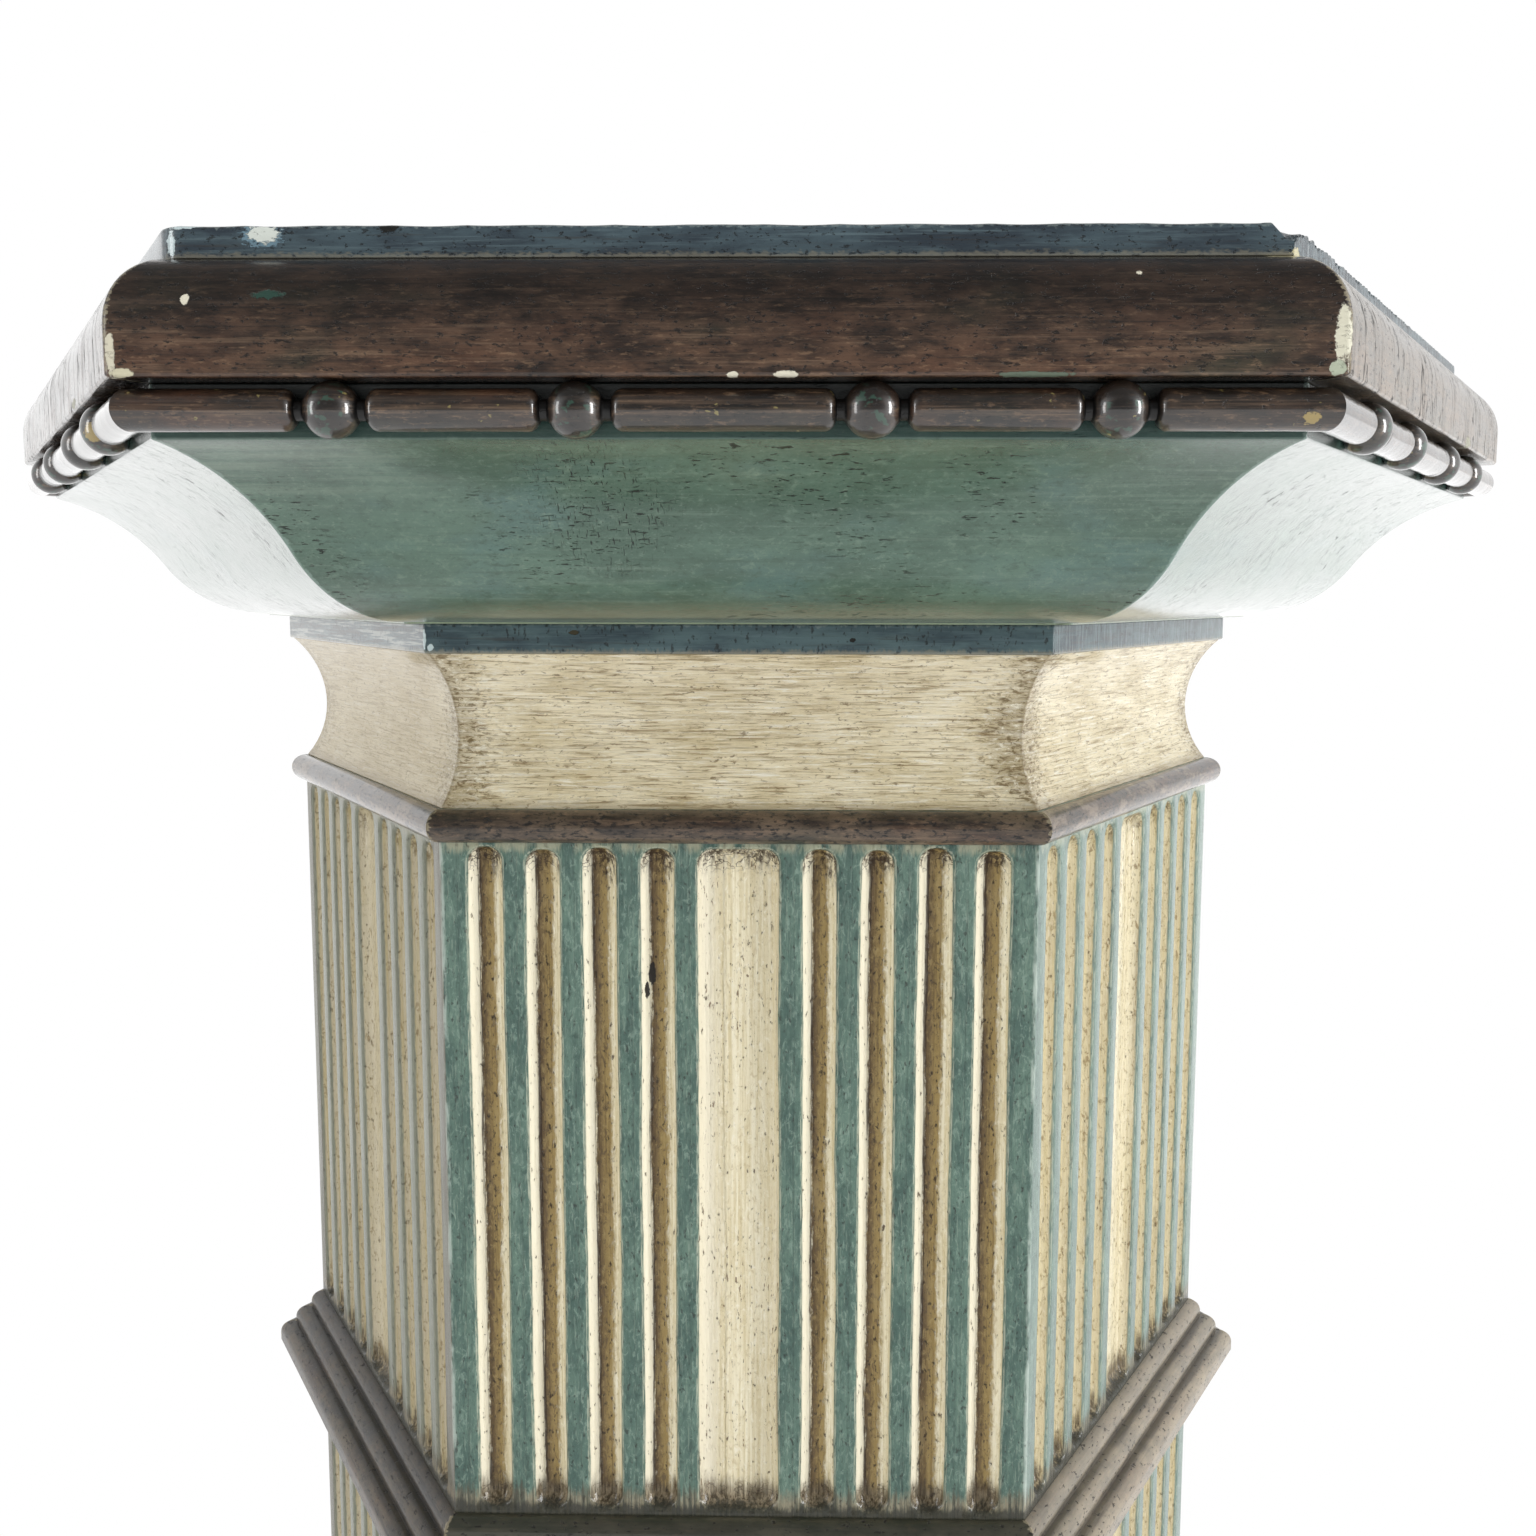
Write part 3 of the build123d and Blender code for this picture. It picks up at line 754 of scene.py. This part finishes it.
CLOSE, CLOSE_ON_MOULDINGS = 0.02, 0.35
soft_boards = [
    ("cushion_board", 0.9, CLOSE_ON_MOULDINGS, "brown_moulding", cushion_brown),
    ("neck_board", 0.6, CLOSE, "blue_board", neck_blue),
    ("cove_block", 0.4, CLOSE, "cream_cove", cove_cream),
]
for side in range(1, SIDES + 1):
    soft_boards.append((f"astragal_{side}", 0.25, CLOSE_ON_MOULDINGS, "brown_moulding", astragal_brown))
    soft_boards.append((f"collar_{side}", 0.2, CLOSE_ON_MOULDINGS, "brown_moulding", collar_brown))
    soft_boards.append((f"plinth_board_{side}", 0.8, CLOSE, "green_plinth", plinth_green))
for board in soft_boards:
    softened(*board)
print("softened pieces:", len(soft_boards))
for node in ("head_block", "foot_block"):
    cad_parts[node].material_slots[0].material = bare_wood

# %% [markdown]
# ## The top board
# Its right edge is raw from the saw: teeth tore small notches out of the upper arris, one stroke
# after the other, and the front right corner has broken away in steps. The outline is walked once
# round the board, with close points where it is torn, and rings of points are joined into a shell.


# %% Outline of the top board
def walk(corners, step):
    """Points along a closed outline, no further apart than the step of each side."""
    points = []
    for number, (start, stop) in enumerate(zip(corners, corners[1:] + corners[:1])):
        count = max(1, int(np.ceil(np.linalg.norm(stop - start) / step[number])))
        points += [start + (stop - start) * part / count for part in range(count)]
    return np.array(points)


def torn_edge(along, length, strength, random):
    """How far the saw tore down into the arris, in millimetres, at each distance along it."""
    teeth, at = [], 0.0
    while at < length:
        pitch = random.uniform(1.9, 4.4)
        teeth.append((at, pitch, random.uniform(0.5, 2.2)))
        at += pitch
    depth = np.zeros(len(along))
    for start, pitch, bite in teeth:
        inside = (along >= start) & (along < start + pitch)
        depth[inside] = bite * (1 - (along[inside] - start) / pitch) ** 0.8
    return depth * strength


def ring_shell(name, rings):
    """A closed shell: each ring of points is joined to the next, and the first and last are filled."""
    count = len(rings[0])
    shell = bmesh.new()
    rows = [[shell.verts.new(Vector(p) * MM) for p in ring] for ring in rings]
    for low, high in zip(rows, rows[1:]):
        for n in range(count):
            m = (n + 1) % count
            shell.faces.new((low[n], low[m], high[m], high[n]))
    shell.faces.new(list(reversed(rows[0])))
    shell.faces.new(rows[-1])
    return mesh_of(shell, name)


print("outline tools ready")

# %% Top board
random = np.random.default_rng(5)
apothem = -top_low[1]
radius = apothem / COS
worn, deepest = 7.0, 3.6
break_depth, break_width, crumbled = 3.4, 4.2, 2.6
hexagon = [radius * np.array([np.cos(a), np.sin(a)]) for a in np.radians(np.arange(-120, 240, 60))]
pivot = hexagon[0] * (1 - worn / COS / radius)
turn = np.linspace(-150, -90, 7) * np.pi / 180
rounded = [pivot + worn * np.array([np.cos(a), np.sin(a)]) for a in turn]
corners = rounded + hexagon[1:]
steps = [5.0] * 6 + [1.1, 0.8, 1.2] + [6.0] * 3
outline = walk(corners, steps)
front_right = hexagon[1]
along_right = (outline - front_right) @ (hexagon[2] - front_right) / radius
on_right = (outline @ np.array([COS, -SIN]) > apothem - 0.01) & (along_right > -0.01)
along_back = (outline - hexagon[2]) @ (hexagon[3] - hexagon[2]) / radius
on_back = (outline @ np.array([COS, SIN]) > apothem - 0.01) & (along_back > 0.01)
tear = np.zeros(len(outline))
fade = 1.0 - 0.75 * np.clip(along_right / radius, 0, 1)
tear[on_right] = torn_edge(along_right[on_right], radius + 1, 1.0, random) * fade[on_right]
tear[on_back] = torn_edge(along_back[on_back], radius + 1, 0.25, random)
broken = np.linalg.norm(outline - front_right, axis=1)
on_front = outline[:, 1] < -apothem + 0.01
stepped = np.ceil(np.clip(1 - broken / break_width, 0, 1) * 3) / 3
tear = np.where(on_front, break_depth * stepped, tear)
tear += np.where(on_right & ~on_front, crumbled * np.exp(-broken / 5), 0)
uneven = 0.22 * np.abs(np.sin(broken * 0.21) * np.sin(broken * 0.083))
tear += np.where(on_front & (broken > 5.5), uneven, 0)
tear = np.clip(tear, 0, deepest)


def inset(points, amount):
    """The outline moved in towards the axis by this much, square to its sides."""
    outward = np.maximum(np.abs(points @ np.array([COS, SIN])), np.abs(points @ np.array([COS, -SIN])))
    outward = np.maximum(outward, np.abs(points[:, 1]))
    return points * (1 - amount / outward)[:, None]


def level(points, height):
    return np.column_stack([points, np.broadcast_to(height, len(points))])


low, high = top_low[2], top_high[2]
rings = [
    level(inset(outline, 0.5), low),
    level(inset(outline, 0.12), low + 0.2),
    level(outline, low + 0.6),
    level(outline, high - 0.7 - tear),
    level(inset(outline, 0.12), high - 0.25 - tear),
    level(inset(outline, 0.5), high - tear),
    level(inset(outline, 2.2), high - tear * 0.7),
    level(inset(outline, 5.0), high),
]
top_mesh = ring_shell("top_board_sawn", rings)
smoothed(top_mesh, 40)
top_board = link_mesh("top_board_sawn", top_mesh)
stand_in(top_board, "top_board", top_blue)
print("top board: points round it", len(outline), "deepest tear", round(float(tear.max()), 2), "mm")

# %% [markdown]
# ## The cyma
# The block's sides follow one outline: level at the foot, then a round, then a hollow up to a straight
# lip. Gloss shows every facet on such a slope, so its outline is cut into far finer steps than the
# solid has, and each ring turns the corners with a small radius.


# %% Fine outline of the cyma
def arc_steps(start, stop, first_slope, steps):
    """Points of the arc that leaves the start at this slope, in radians, and ends at the stop."""
    chord = stop - start
    bend = 2 * (np.arctan2(chord[1], chord[0]) - first_slope)
    at = np.linspace(0, 1, steps + 1)
    along = np.sin(at * bend / 2) / np.sin(bend / 2)
    angle = first_slope + at * bend / 2
    length = np.linalg.norm(chord) * along
    return start + np.column_stack([np.cos(angle), np.sin(angle)]) * length[:, None], first_slope + bend


def soft_hexagon(apothem, height, radius=0.6):
    """A level hexagon with rounded corners, four points to each."""
    centre = (apothem - radius) / COS
    ring = []
    for corner in np.radians(np.arange(-120, 240, 60)):
        for angle in corner + np.radians([-30, -10, 10, 30]):
            x, y = (centre * turn(corner) + radius * turn(angle) for turn in (np.cos, np.sin))
            ring.append((x, y, height))
    return np.array(ring)


cyma_low, cyma_high = span("cyma_block")
lip_apothem, lip_height = -cyma_low[1], 11.0
foot_apothem, foot_step = 139.3, 0.4
foot_point = np.array([foot_apothem, cyma_low[2] + foot_step])
lip_point = np.array([lip_apothem, cyma_high[2] - lip_height])
turn_in, turn_down = 0.51, 0.585
turning = foot_point + (lip_point - foot_point) * np.array([1 - turn_in, 1 - turn_down])
round_part, slope = arc_steps(foot_point, turning, 0.0, 26)
hollow_part, slope = arc_steps(turning, lip_point, slope, 26)
print("cyma: slope at the lip", round(float(np.degrees(slope)), 1), "degrees")

# %% Cyma block
outline = [[foot_apothem - 0.4, cyma_low[2]], [foot_apothem - 0.1, cyma_low[2] + 0.1]]
outline += list(round_part) + list(hollow_part[1:-1])
outline += [lip_point + [-0.3, -0.08], lip_point + [-0.08, 0.12], lip_point + [0, 0.4]]
outline += [[lip_apothem - back, cyma_high[2] - down] for back, down in ((0, 0.4), (0.12, 0.12), (0.4, 0))]
cyma = link_mesh("cyma_block_turned", ring_shell("cyma_block_turned", [soft_hexagon(*p) for p in outline]))
smoothed(cyma.data, SHARP_SHADE)
levelled(cyma)
stand_in(cyma, "cyma_block", cyma_green)
print("cyma: rings", len(outline), "faces", len(cyma.data.polygons))

# %% [markdown]
# ## Fluted boards
# A flute is a hollow with curved walls that stops in a rounded end. The board's face is a grid whose
# columns crowd together at the flutes' edges. Each point sinks by the distance that it lies inside a
# flute's outline, and a slow wander of the edges and unequal ends show the hand that cut them.

# %% Sizes of the flutes
FLUTE_DEPTH, NARROW, WIDE, PITCH, RIB = 3.2, 9.0, 21.0, 14.5, 5.5
END_ROUND = 4.1
STAVE_THICKNESS, STAVE_ROUND = 20.0, 1.1
upper_flutes = (787.1, 963.6)
lower_flutes = (120.0, 765.3)
first = WIDE / 2 + RIB + NARROW / 2
centres = sorted([0.0] + [way * (first + n * PITCH) for way in (-1, 1) for n in range(4)])
wall_in = (-0.9, -0.45, 0, 0.3, 0.8, 1.5, 2.3, 3.2)
wall = np.column_stack([wall_in, (0, 0.05, 0.4, 0.95, 1.7, 2.5, 3.0, 3.2)])
print("flutes on each side:", len(centres), "centres", centres)


# %% Grid of one fluted board
def inside_flute(across, up, half_width, half_length):
    """Distance inside the rounded outline of a flute, in millimetres, and below zero outside it."""
    qx = np.abs(across) - (half_width - END_ROUND)
    qz = np.abs(up) - (half_length - END_ROUND)
    outside = np.hypot(np.maximum(qx, 0), np.maximum(qz, 0))
    return END_ROUND - outside - np.minimum(np.maximum(qx, qz), 0)


def board_columns():
    """Place across the board, flute that owns the column, and the edge that it follows."""
    half = shaft_apothem * HALF_SIDE
    columns = []
    for number, centre in enumerate(centres):
        half_width = (WIDE if centre == 0 else NARROW) / 2
        reaches = [half_width - s for s in wall[:, 0]]
        reaches += list(np.linspace(reaches[-1], 0, 5 if centre == 0 else 2)[1:-1])
        for reach in reaches:
            columns += [(centre - reach, number, -1), (centre + reach, number, 1)]
        columns.append((centre, number, 0))
    for left, right in zip(centres, centres[1:]):
        edges = [(WIDE if c == 0 else NARROW) / 2 for c in (left, right)]
        columns.append(((left + edges[0] + right - edges[1]) / 2, -1, 0))
    tangent_at, last_flute = half - STAVE_ROUND * HALF_SIDE, 69.5
    columns += [(way * x, -1, 0) for way in (-1, 1) for x in (tangent_at, (tangent_at + last_flute) / 2)]
    for angle in np.radians([10, 20, 30]):
        columns += [(way * (tangent_at + STAVE_ROUND * np.sin(angle)), -2, angle) for way in (-1, 1)]
    return sorted(columns)


def board_rows():
    """Heights of the grid's rows: close together at each flute's end."""
    rows = [0.0, shaft_top, 60.0, 110.0, shaft_top - 4.5]
    for low, high in (upper_flutes, lower_flutes):
        near = np.concatenate([wall[:, 0], [4.1, 5.2, 7.5]])
        rows += list(low + near) + list(high - near)
        rows += list(np.arange(low + 12, high - 10, 7.0 if low > 700 else 14.0))
    rows += list(np.linspace(upper_flutes[0] - 4, lower_flutes[1] + 4, 4))
    return np.array(sorted(rows))


columns, rows = board_columns(), board_rows()
print("grid of one board:", len(columns), "by", len(rows))


# %% Wander of the cutter
def wander(heights, random, size, every):
    """A slow, smooth drift along the board, in millimetres."""
    knots = np.arange(-every, shaft_top + 2 * every, every)
    values = random.normal(0, size, len(knots))
    return np.interp(heights, knots, values)


def fluted_board(seed):
    """Points of one board's face and the three numbers that its paint needs."""
    random = np.random.default_rng(seed)
    drift = {(n, way): wander(rows, random, 0.12, 34.0) for n in range(len(centres)) for way in (-1, 1)}
    ends = random.uniform(-0.7, 0.5, (len(centres), 4))
    chips = {(n, way): wander(rows, random, 0.05, 7.0) for n in range(len(centres)) for way in (-1, 1)}
    points, across, hollow, wide, near_end = [], [], [], [], []
    for x, owner, way in columns:
        height, depth, place = rows.copy(), np.zeros(len(rows)), np.zeros(len(rows))
        sideways, face, end_gap = (np.full(len(rows), value) for value in (x, -shaft_apothem, 1.0))
        if owner >= 0:
            centre = centres[owner]
            half_width = (WIDE if centre == 0 else NARROW) / 2
            for number, (low, high) in enumerate((upper_flutes, lower_flutes)):
                middle, half_length = (low + high) / 2, (high - low) / 2
                gap = inside_flute(x - centre, rows - middle, half_width, half_length)
                depth = np.maximum(depth, np.interp(gap, wall[:, 0], wall[:, 1]))
                inner = (rows > low - 2) & (rows < high + 2)
                end_gap[inner] = np.minimum(high - rows, rows - low)[inner] * MM
                for edge, shift in ((low, ends[owner, 2 * number]), (high, ends[owner, 2 * number + 1])):
                    height = height + shift * np.clip(1 - np.abs(rows - edge) / 12, 0, 1)
            place[:] = (x - centre) / half_width
            if way:
                sideways = sideways + drift[owner, way] + chips[owner, way]
            else:
                sideways = sideways + (drift[owner, -1] + drift[owner, 1]) / 2
        if owner == -2:
            face = face + STAVE_ROUND * (1 - np.cos(way))
        points.append(np.column_stack([sideways, face + depth, height]))
        across.append(place)
        hollow.append(depth / FLUTE_DEPTH)
        wide.append(np.full(len(rows), 1.0 if owner == centres.index(0.0) else 0.0))
        near_end.append(end_gap)
    return np.array(points), {"across": across, "hollow": hollow, "wide": wide, "end": near_end}


print("deepest point of a flute:", wall[-1, 1], "mm")


# %% Shell of one fluted board
def board_mesh(name, points, numbers, turn):
    """Closes the fluted face with the board's back, mitres and ends, and turns it to its side."""
    wide_count, tall_count = points.shape[:2]
    grid = points.reshape(-1, 3)
    back_y = -shaft_apothem + STAVE_THICKNESS
    half_back = -back_y * HALF_SIDE
    back = [(way * half_back, back_y, h) for way in (-1, 1) for h in (0.0, shaft_top)]
    everything = np.vstack([grid, back])
    c, s = np.cos(turn), np.sin(turn)
    everything = everything @ np.array([[c, s, 0], [-s, c, 0], [0, 0, 1]])
    index = np.arange(wide_count * tall_count).reshape(wide_count, tall_count)
    faces = []
    for i in range(wide_count - 1):
        for j in range(tall_count - 1):
            faces.append((index[i, j], index[i + 1, j], index[i + 1, j + 1], index[i, j + 1]))
    left_low, left_high, right_low, right_high = range(len(grid), len(grid) + 4)
    faces.append([*index[:, -1], right_high, left_high])
    faces.append([*index[::-1, 0], left_low, right_low])
    faces.append([*index[0, :], left_high, left_low])
    faces.append([*index[-1, ::-1], right_low, right_high])
    faces.append([left_low, left_high, right_high, right_low])
    mesh = bpy.data.meshes.new(name)
    mesh.from_pydata((everything * MM).tolist(), [], [list(map(int, face)) for face in faces])
    for key, values in numbers.items():
        layer = mesh.attributes.new(key, "FLOAT", "POINT")
        rest = 1.0 if key == "end" else 0.0
        flat = np.concatenate([np.array(values).reshape(-1), np.full(4, rest)])
        layer.data.foreach_set("value", flat.astype(np.float32))
    mesh.validate()
    smoothed(mesh, 50)
    return mesh


for side in range(SIDES):
    points, numbers = fluted_board(seed=70 + side)
    mesh = board_mesh(f"stave_{side + 1}_cut", points, numbers, side * TURN)
    piece = link_mesh(mesh.name, mesh)
    stand_in(piece, f"stave_{side + 1}", shaft_paint)
print("fluted boards:", SIDES, "faces each", len(mesh.polygons))

# %% [markdown]
# ## Beads and reels
# Each rod was turned on a lathe in one piece: round beads between long reels, with thin necks. Its
# radius at any place along it follows one rule, so Geometry Nodes make it: a line is cut into many
# stations, each takes its radius from the rule, and a circle is swept along it.

# %% Rule of the turned rod
ROD_INPUTS = {
    "Half length": 125.0,
    "Bead radius": 5.8,
    "Reel radius": 4.3,
    "Neck radius": 2.2,
    "Reel end": 2.3,
    "Wobble": 0.16,
    "Seed": 0.0,
    "First bead": 29.1,
    "Second bead": 77.3,
    "Middle reel": 22.0,
    "Side reel start": 36.2,
    "Side reel end": 70.2,
    "End reel start": 84.4,
}


def reel_profile(along, start, end, inputs):
    """Radius of one reel: full between its ends, which are rounded over."""
    into = (along - start).smaller(end - along)
    easing = ((inputs["Reel end"] - into) / inputs["Reel end"]).larger(0.0)
    drop = 1.0 - (1.0 - easing * easing).root()
    full = inputs["Reel radius"] - inputs["Reel end"] * drop
    return full * into.rise(-0.05, 0.05)


def bead_profile(along, station, inputs):
    """Radius of one round bead."""
    off = along - station
    return (inputs["Bead radius"] * inputs["Bead radius"] - off * off).root()


print("rod's sizes:", ROD_INPUTS)


# %% Geometry Nodes for the rod
def rod_tree(material):
    """A tree with a named input for each size, which ends in Realize Instances and Set Material."""
    tree = bpy.data.node_groups.new("Turned bead and reel rod", "GeometryNodeTree")
    face = tree.interface
    for name, value in ROD_INPUTS.items():
        face.new_socket(name, in_out="INPUT", socket_type="NodeSocketFloat").default_value = value
    for name, value in (("Stations", 560), ("Facets", 36)):
        face.new_socket(name, in_out="INPUT", socket_type="NodeSocketInt").default_value = value
    face.new_socket("Geometry", in_out="OUTPUT", socket_type="NodeSocketGeometry")
    n = Nodes(tree)
    group = n.tree.nodes.new("NodeGroupInput")
    inputs = {s.name: Field(n, s) for s in group.outputs if s.name}
    start = n.add("ShaderNodeCombineXYZ", {}, {0: -inputs["Half length"] * MM})
    stop = n.add("ShaderNodeCombineXYZ", {}, {0: inputs["Half length"] * MM})
    line = n.add("GeometryNodeCurvePrimitiveLine", {}, {"Start": start, "End": stop})
    line = n.add("GeometryNodeResampleCurve", {}, {"Curve": line, "Count": inputs["Stations"]})
    place = n.add("GeometryNodeInputPosition")
    x = n.add("ShaderNodeSeparateXYZ", {}, {0: place}) / MM
    along = abs(x)
    radius = reel_profile(along, -5.0, inputs["Middle reel"], inputs)
    radius = radius.larger(reel_profile(along, inputs["Side reel start"], inputs["Side reel end"], inputs))
    radius = radius.larger(reel_profile(along, inputs["End reel start"], inputs["Half length"] + 9.0, inputs))
    radius = radius.larger(bead_profile(along, inputs["First bead"], inputs))
    radius = radius.larger(bead_profile(along, inputs["Second bead"], inputs))
    radius = radius.larger(inputs["Neck radius"])
    sway_place = {"W": x * 0.07 + inputs["Seed"], "Scale": 1.0}
    sway = n.add("ShaderNodeTexNoise", {"noise_dimensions": "1D"}, sway_place)
    radius = (radius - sway * inputs["Wobble"]) * MM
    line = n.add("GeometryNodeSetCurveRadius", {}, {"Curve": line, "Radius": radius})
    ring = n.add("GeometryNodeCurvePrimitiveCircle", {}, {"Resolution": inputs["Facets"], "Radius": 1.0})
    sweep = {"Curve": line, "Profile Curve": ring, "Fill Caps": True}
    swept = n.add("GeometryNodeCurveToMesh", {}, sweep)
    scale_input = swept.socket.node.inputs.get("Scale")
    if scale_input is not None:
        n.tree.links.new(n.add("GeometryNodeInputRadius").socket, scale_input)
    whole = n.add("GeometryNodeRealizeInstances", {}, {0: swept})
    whole = n.add("GeometryNodeSetMaterial", {}, {"Geometry": whole, "Material": material})
    n.add("NodeGroupOutput", {}, {0: whole})
    return tree


turned_rod = rod_tree(bead_brown)
print("rod tree nodes:", len(turned_rod.nodes))


# %% Six rods, planed and mitred
def evaluated(tree, values):
    """The tree's result as a plain mesh, with these inputs set by their identifiers first."""
    carrier = link_mesh("carrier", bpy.data.meshes.new("carrier"))
    modifier = carrier.modifiers.new("rod", "NODES")
    modifier.node_group = tree
    for item in tree.interface.items_tree:
        if item.item_type == "SOCKET" and item.in_out == "INPUT" and item.name in values:
            modifier[item.identifier] = values[item.name]
    bpy.context.view_layer.update()
    graph = bpy.context.evaluated_depsgraph_get()
    mesh = bpy.data.meshes.new_from_object(carrier.evaluated_get(graph))
    carrier.modifiers.remove(modifier)
    bpy.data.objects.remove(carrier)
    return mesh


def cut_away(shell, point, outward):
    """Saws off what lies beyond a plane, and closes the cut."""
    everything = shell.verts[:] + shell.edges[:] + shell.faces[:]
    cut = bmesh.ops.bisect_plane(
        shell, geom=everything, plane_co=point, plane_no=outward, clear_outer=True, dist=1e-7
    )
    rim = [e for e in cut["geom_cut"] if isinstance(e, bmesh.types.BMEdge)]
    bmesh.ops.holes_fill(shell, edges=rim, sides=0)


lip_inset, planed_off = 8.6, 0.4
rod_apothem = -cushion_low[1] - lip_inset + ROD_INPUTS["Reel radius"] - planed_off
rod_axis = Vector((0, -rod_apothem, rod_high[2] - ROD_INPUTS["Bead radius"])) * MM
lip = (-cushion_low[1] - lip_inset) * MM
for side in range(SIDES):
    shell = bmesh.new()
    shell.from_mesh(evaluated(turned_rod, {"Seed": 17.0 * side}))
    bmesh.ops.remove_doubles(shell, verts=shell.verts, dist=1e-6)
    bmesh.ops.translate(shell, vec=rod_axis, verts=shell.verts)
    cut_away(shell, Vector((0, -lip, 0)), Vector((0, 1, 0)))
    for way in (-1, 1):
        cut_away(shell, Vector((0, 0, 0)), Vector((way * COS, SIN, 0)))
    bmesh.ops.rotate(shell, cent=(0, 0, 0), matrix=Matrix.Rotation(side * TURN, 3, "Z"), verts=shell.verts)
    bmesh.ops.recalc_face_normals(shell, faces=shell.faces)
    mesh = mesh_of(shell, f"bead_and_reel_{side + 1}_turned")
    smoothed(mesh, 50)
    piece = link_mesh(mesh.name, mesh)
    stand_in(piece, f"bead_and_reel_{side + 1}", bead_brown)
    print(piece.name, "faces", len(mesh.polygons))

# %% [markdown]
# ## Floor, light and camera
# The column stands in a white studio: a pale floor that holds its shadow near the foot and runs out to
# plain white, a white surround that its varnish reflects, and two soft lamps, the right one stronger.


# %% Floor and surround
def not_lighting(nodes, path, seen):
    """1 for the rays that only look or mirror, where the studio has to be plain white."""
    for ray in ("Is Glossy Ray", "Is Transmission Ray"):
        seen = seen.larger(Field(nodes, path.socket.node.outputs[ray]))
    return seen


size = 12.0
floor_mesh = bpy.data.meshes.new("studio_floor")
floor_corners = [(x, y, -0.0005) for x, y in ((-size, -size), (size, -size), (size, size), (-size, size))]
floor_mesh.from_pydata(floor_corners, [], [(0, 1, 2, 3)])
floor = link_mesh("studio_floor", floor_mesh)
f = Finish("pale_floor")
far = ((f.x * f.x + f.y * f.y) ** 0.5).rise(450, 950)
path = f.add("ShaderNodeLightPath")
seen = not_lighting(f, path, Field(f, path.socket.node.outputs["Is Camera Ray"]) * far)
dull = f.add("ShaderNodeBsdfDiffuse", {}, {"Color": [0.86, 0.86, 0.86, 1]})
white = f.add("ShaderNodeEmission", {}, {"Color": [1, 1, 1, 1], "Strength": 1.0})
floor_shader = f.add("ShaderNodeMixShader", {}, {0: seen, 1: dull, 2: white})
f.add("ShaderNodeOutputMaterial", {}, {0: floor_shader})
floor.data.materials.append(f.material)

world = bpy.data.worlds.new("white_studio")
world.use_nodes = True
bpy.context.scene.world = world
w = Nodes(world.node_tree)
path = w.add("ShaderNodeLightPath")
from_camera = Field(w, path.socket.node.outputs["Is Camera Ray"])
seen = not_lighting(w, path, from_camera)
direction = w.add("ShaderNodeTexCoord", output="Generated")
dot = {"operation": "DOT_PRODUCT"}
toward = w.add("ShaderNodeVectorMath", dot, {0: direction, 1: (0, -1, 0)}, output="Value")
overhead = w.add("ShaderNodeVectorMath", dot, {0: direction, 1: (0, 0, 1)}, output="Value")
room = toward.rise(0.3, 0.8).larger(overhead.rise(0.35, 0.8)) * (1 - from_camera)
dim = w.add("ShaderNodeBackground", {}, {"Color": [1, 1, 1, 1], "Strength": 0.78})
bright = w.add("ShaderNodeBackground", {}, {"Color": [1, 1, 1, 1], "Strength": 1.0 - room * 0.85})
surround = w.add("ShaderNodeMixShader", {}, {0: seen, 1: dim, 2: bright})
w.add("ShaderNodeOutputWorld", {}, {0: surround})
print("floor and surround made")


# %% Lamps
def soft_lamp(name, place, aim, width, height, power, hidden=False):
    lamp = bpy.data.lights.new(name, "AREA")
    lamp.shape = "RECTANGLE"
    lamp.size, lamp.size_y = width, height
    lamp.energy = power
    holder = bpy.data.objects.new(name, lamp)
    holder.location = place
    holder.rotation_euler = (Vector(aim) - Vector(place)).to_track_quat("-Z", "Y").to_euler()
    holder.visible_camera = not hidden
    bpy.context.scene.collection.objects.link(holder)
    print(name, power, "W")


soft_lamp("right_lamp", (1.9, -0.78, 1.25), (0, 0, 1.0), 0.42, 1.3, 27.0)
soft_lamp("left_lamp", (-1.9, -0.86, 1.25), (0, 0, 1.0), 0.42, 1.3, 10.0)
soft_lamp("left_screen", (-1.3, 1.9, 0.85), (0, 0, 0.95), 1.5, 1.7, 2.9, hidden=True)
soft_lamp("right_screen", (1.3, 1.9, 0.4), (0, 0, 0.95), 1.5, 1.3, 3.1, hidden=True)

# %% Camera
yaw, pitch, roll = -0.019588, -0.11292, 0.00151
forward = Vector((np.sin(yaw) * np.cos(pitch), np.cos(yaw) * np.cos(pitch), np.sin(pitch)))
level_right = Vector((np.cos(yaw), -np.sin(yaw), 0))
level_up = level_right.cross(forward)
right = level_right * np.cos(roll) + level_up * np.sin(roll)
up = level_up * np.cos(roll) - level_right * np.sin(roll)
camera_data = bpy.data.cameras.new("photo_view")
camera_data.sensor_width = camera_data.sensor_height = 36.0
camera_data.lens = 36.27
camera = bpy.data.objects.new("photo_view", camera_data)
eye = (0.01485, -0.51266, 1.02715)
camera.matrix_world = Matrix([(right[n], up[n], -forward[n], eye[n]) for n in range(3)] + [(0, 0, 0, 1)])
bpy.context.scene.collection.objects.link(camera)
bpy.context.scene.camera = camera
bpy.context.scene.view_settings.view_transform = "Standard"
print("camera at", [round(v, 3) for v in camera.location])
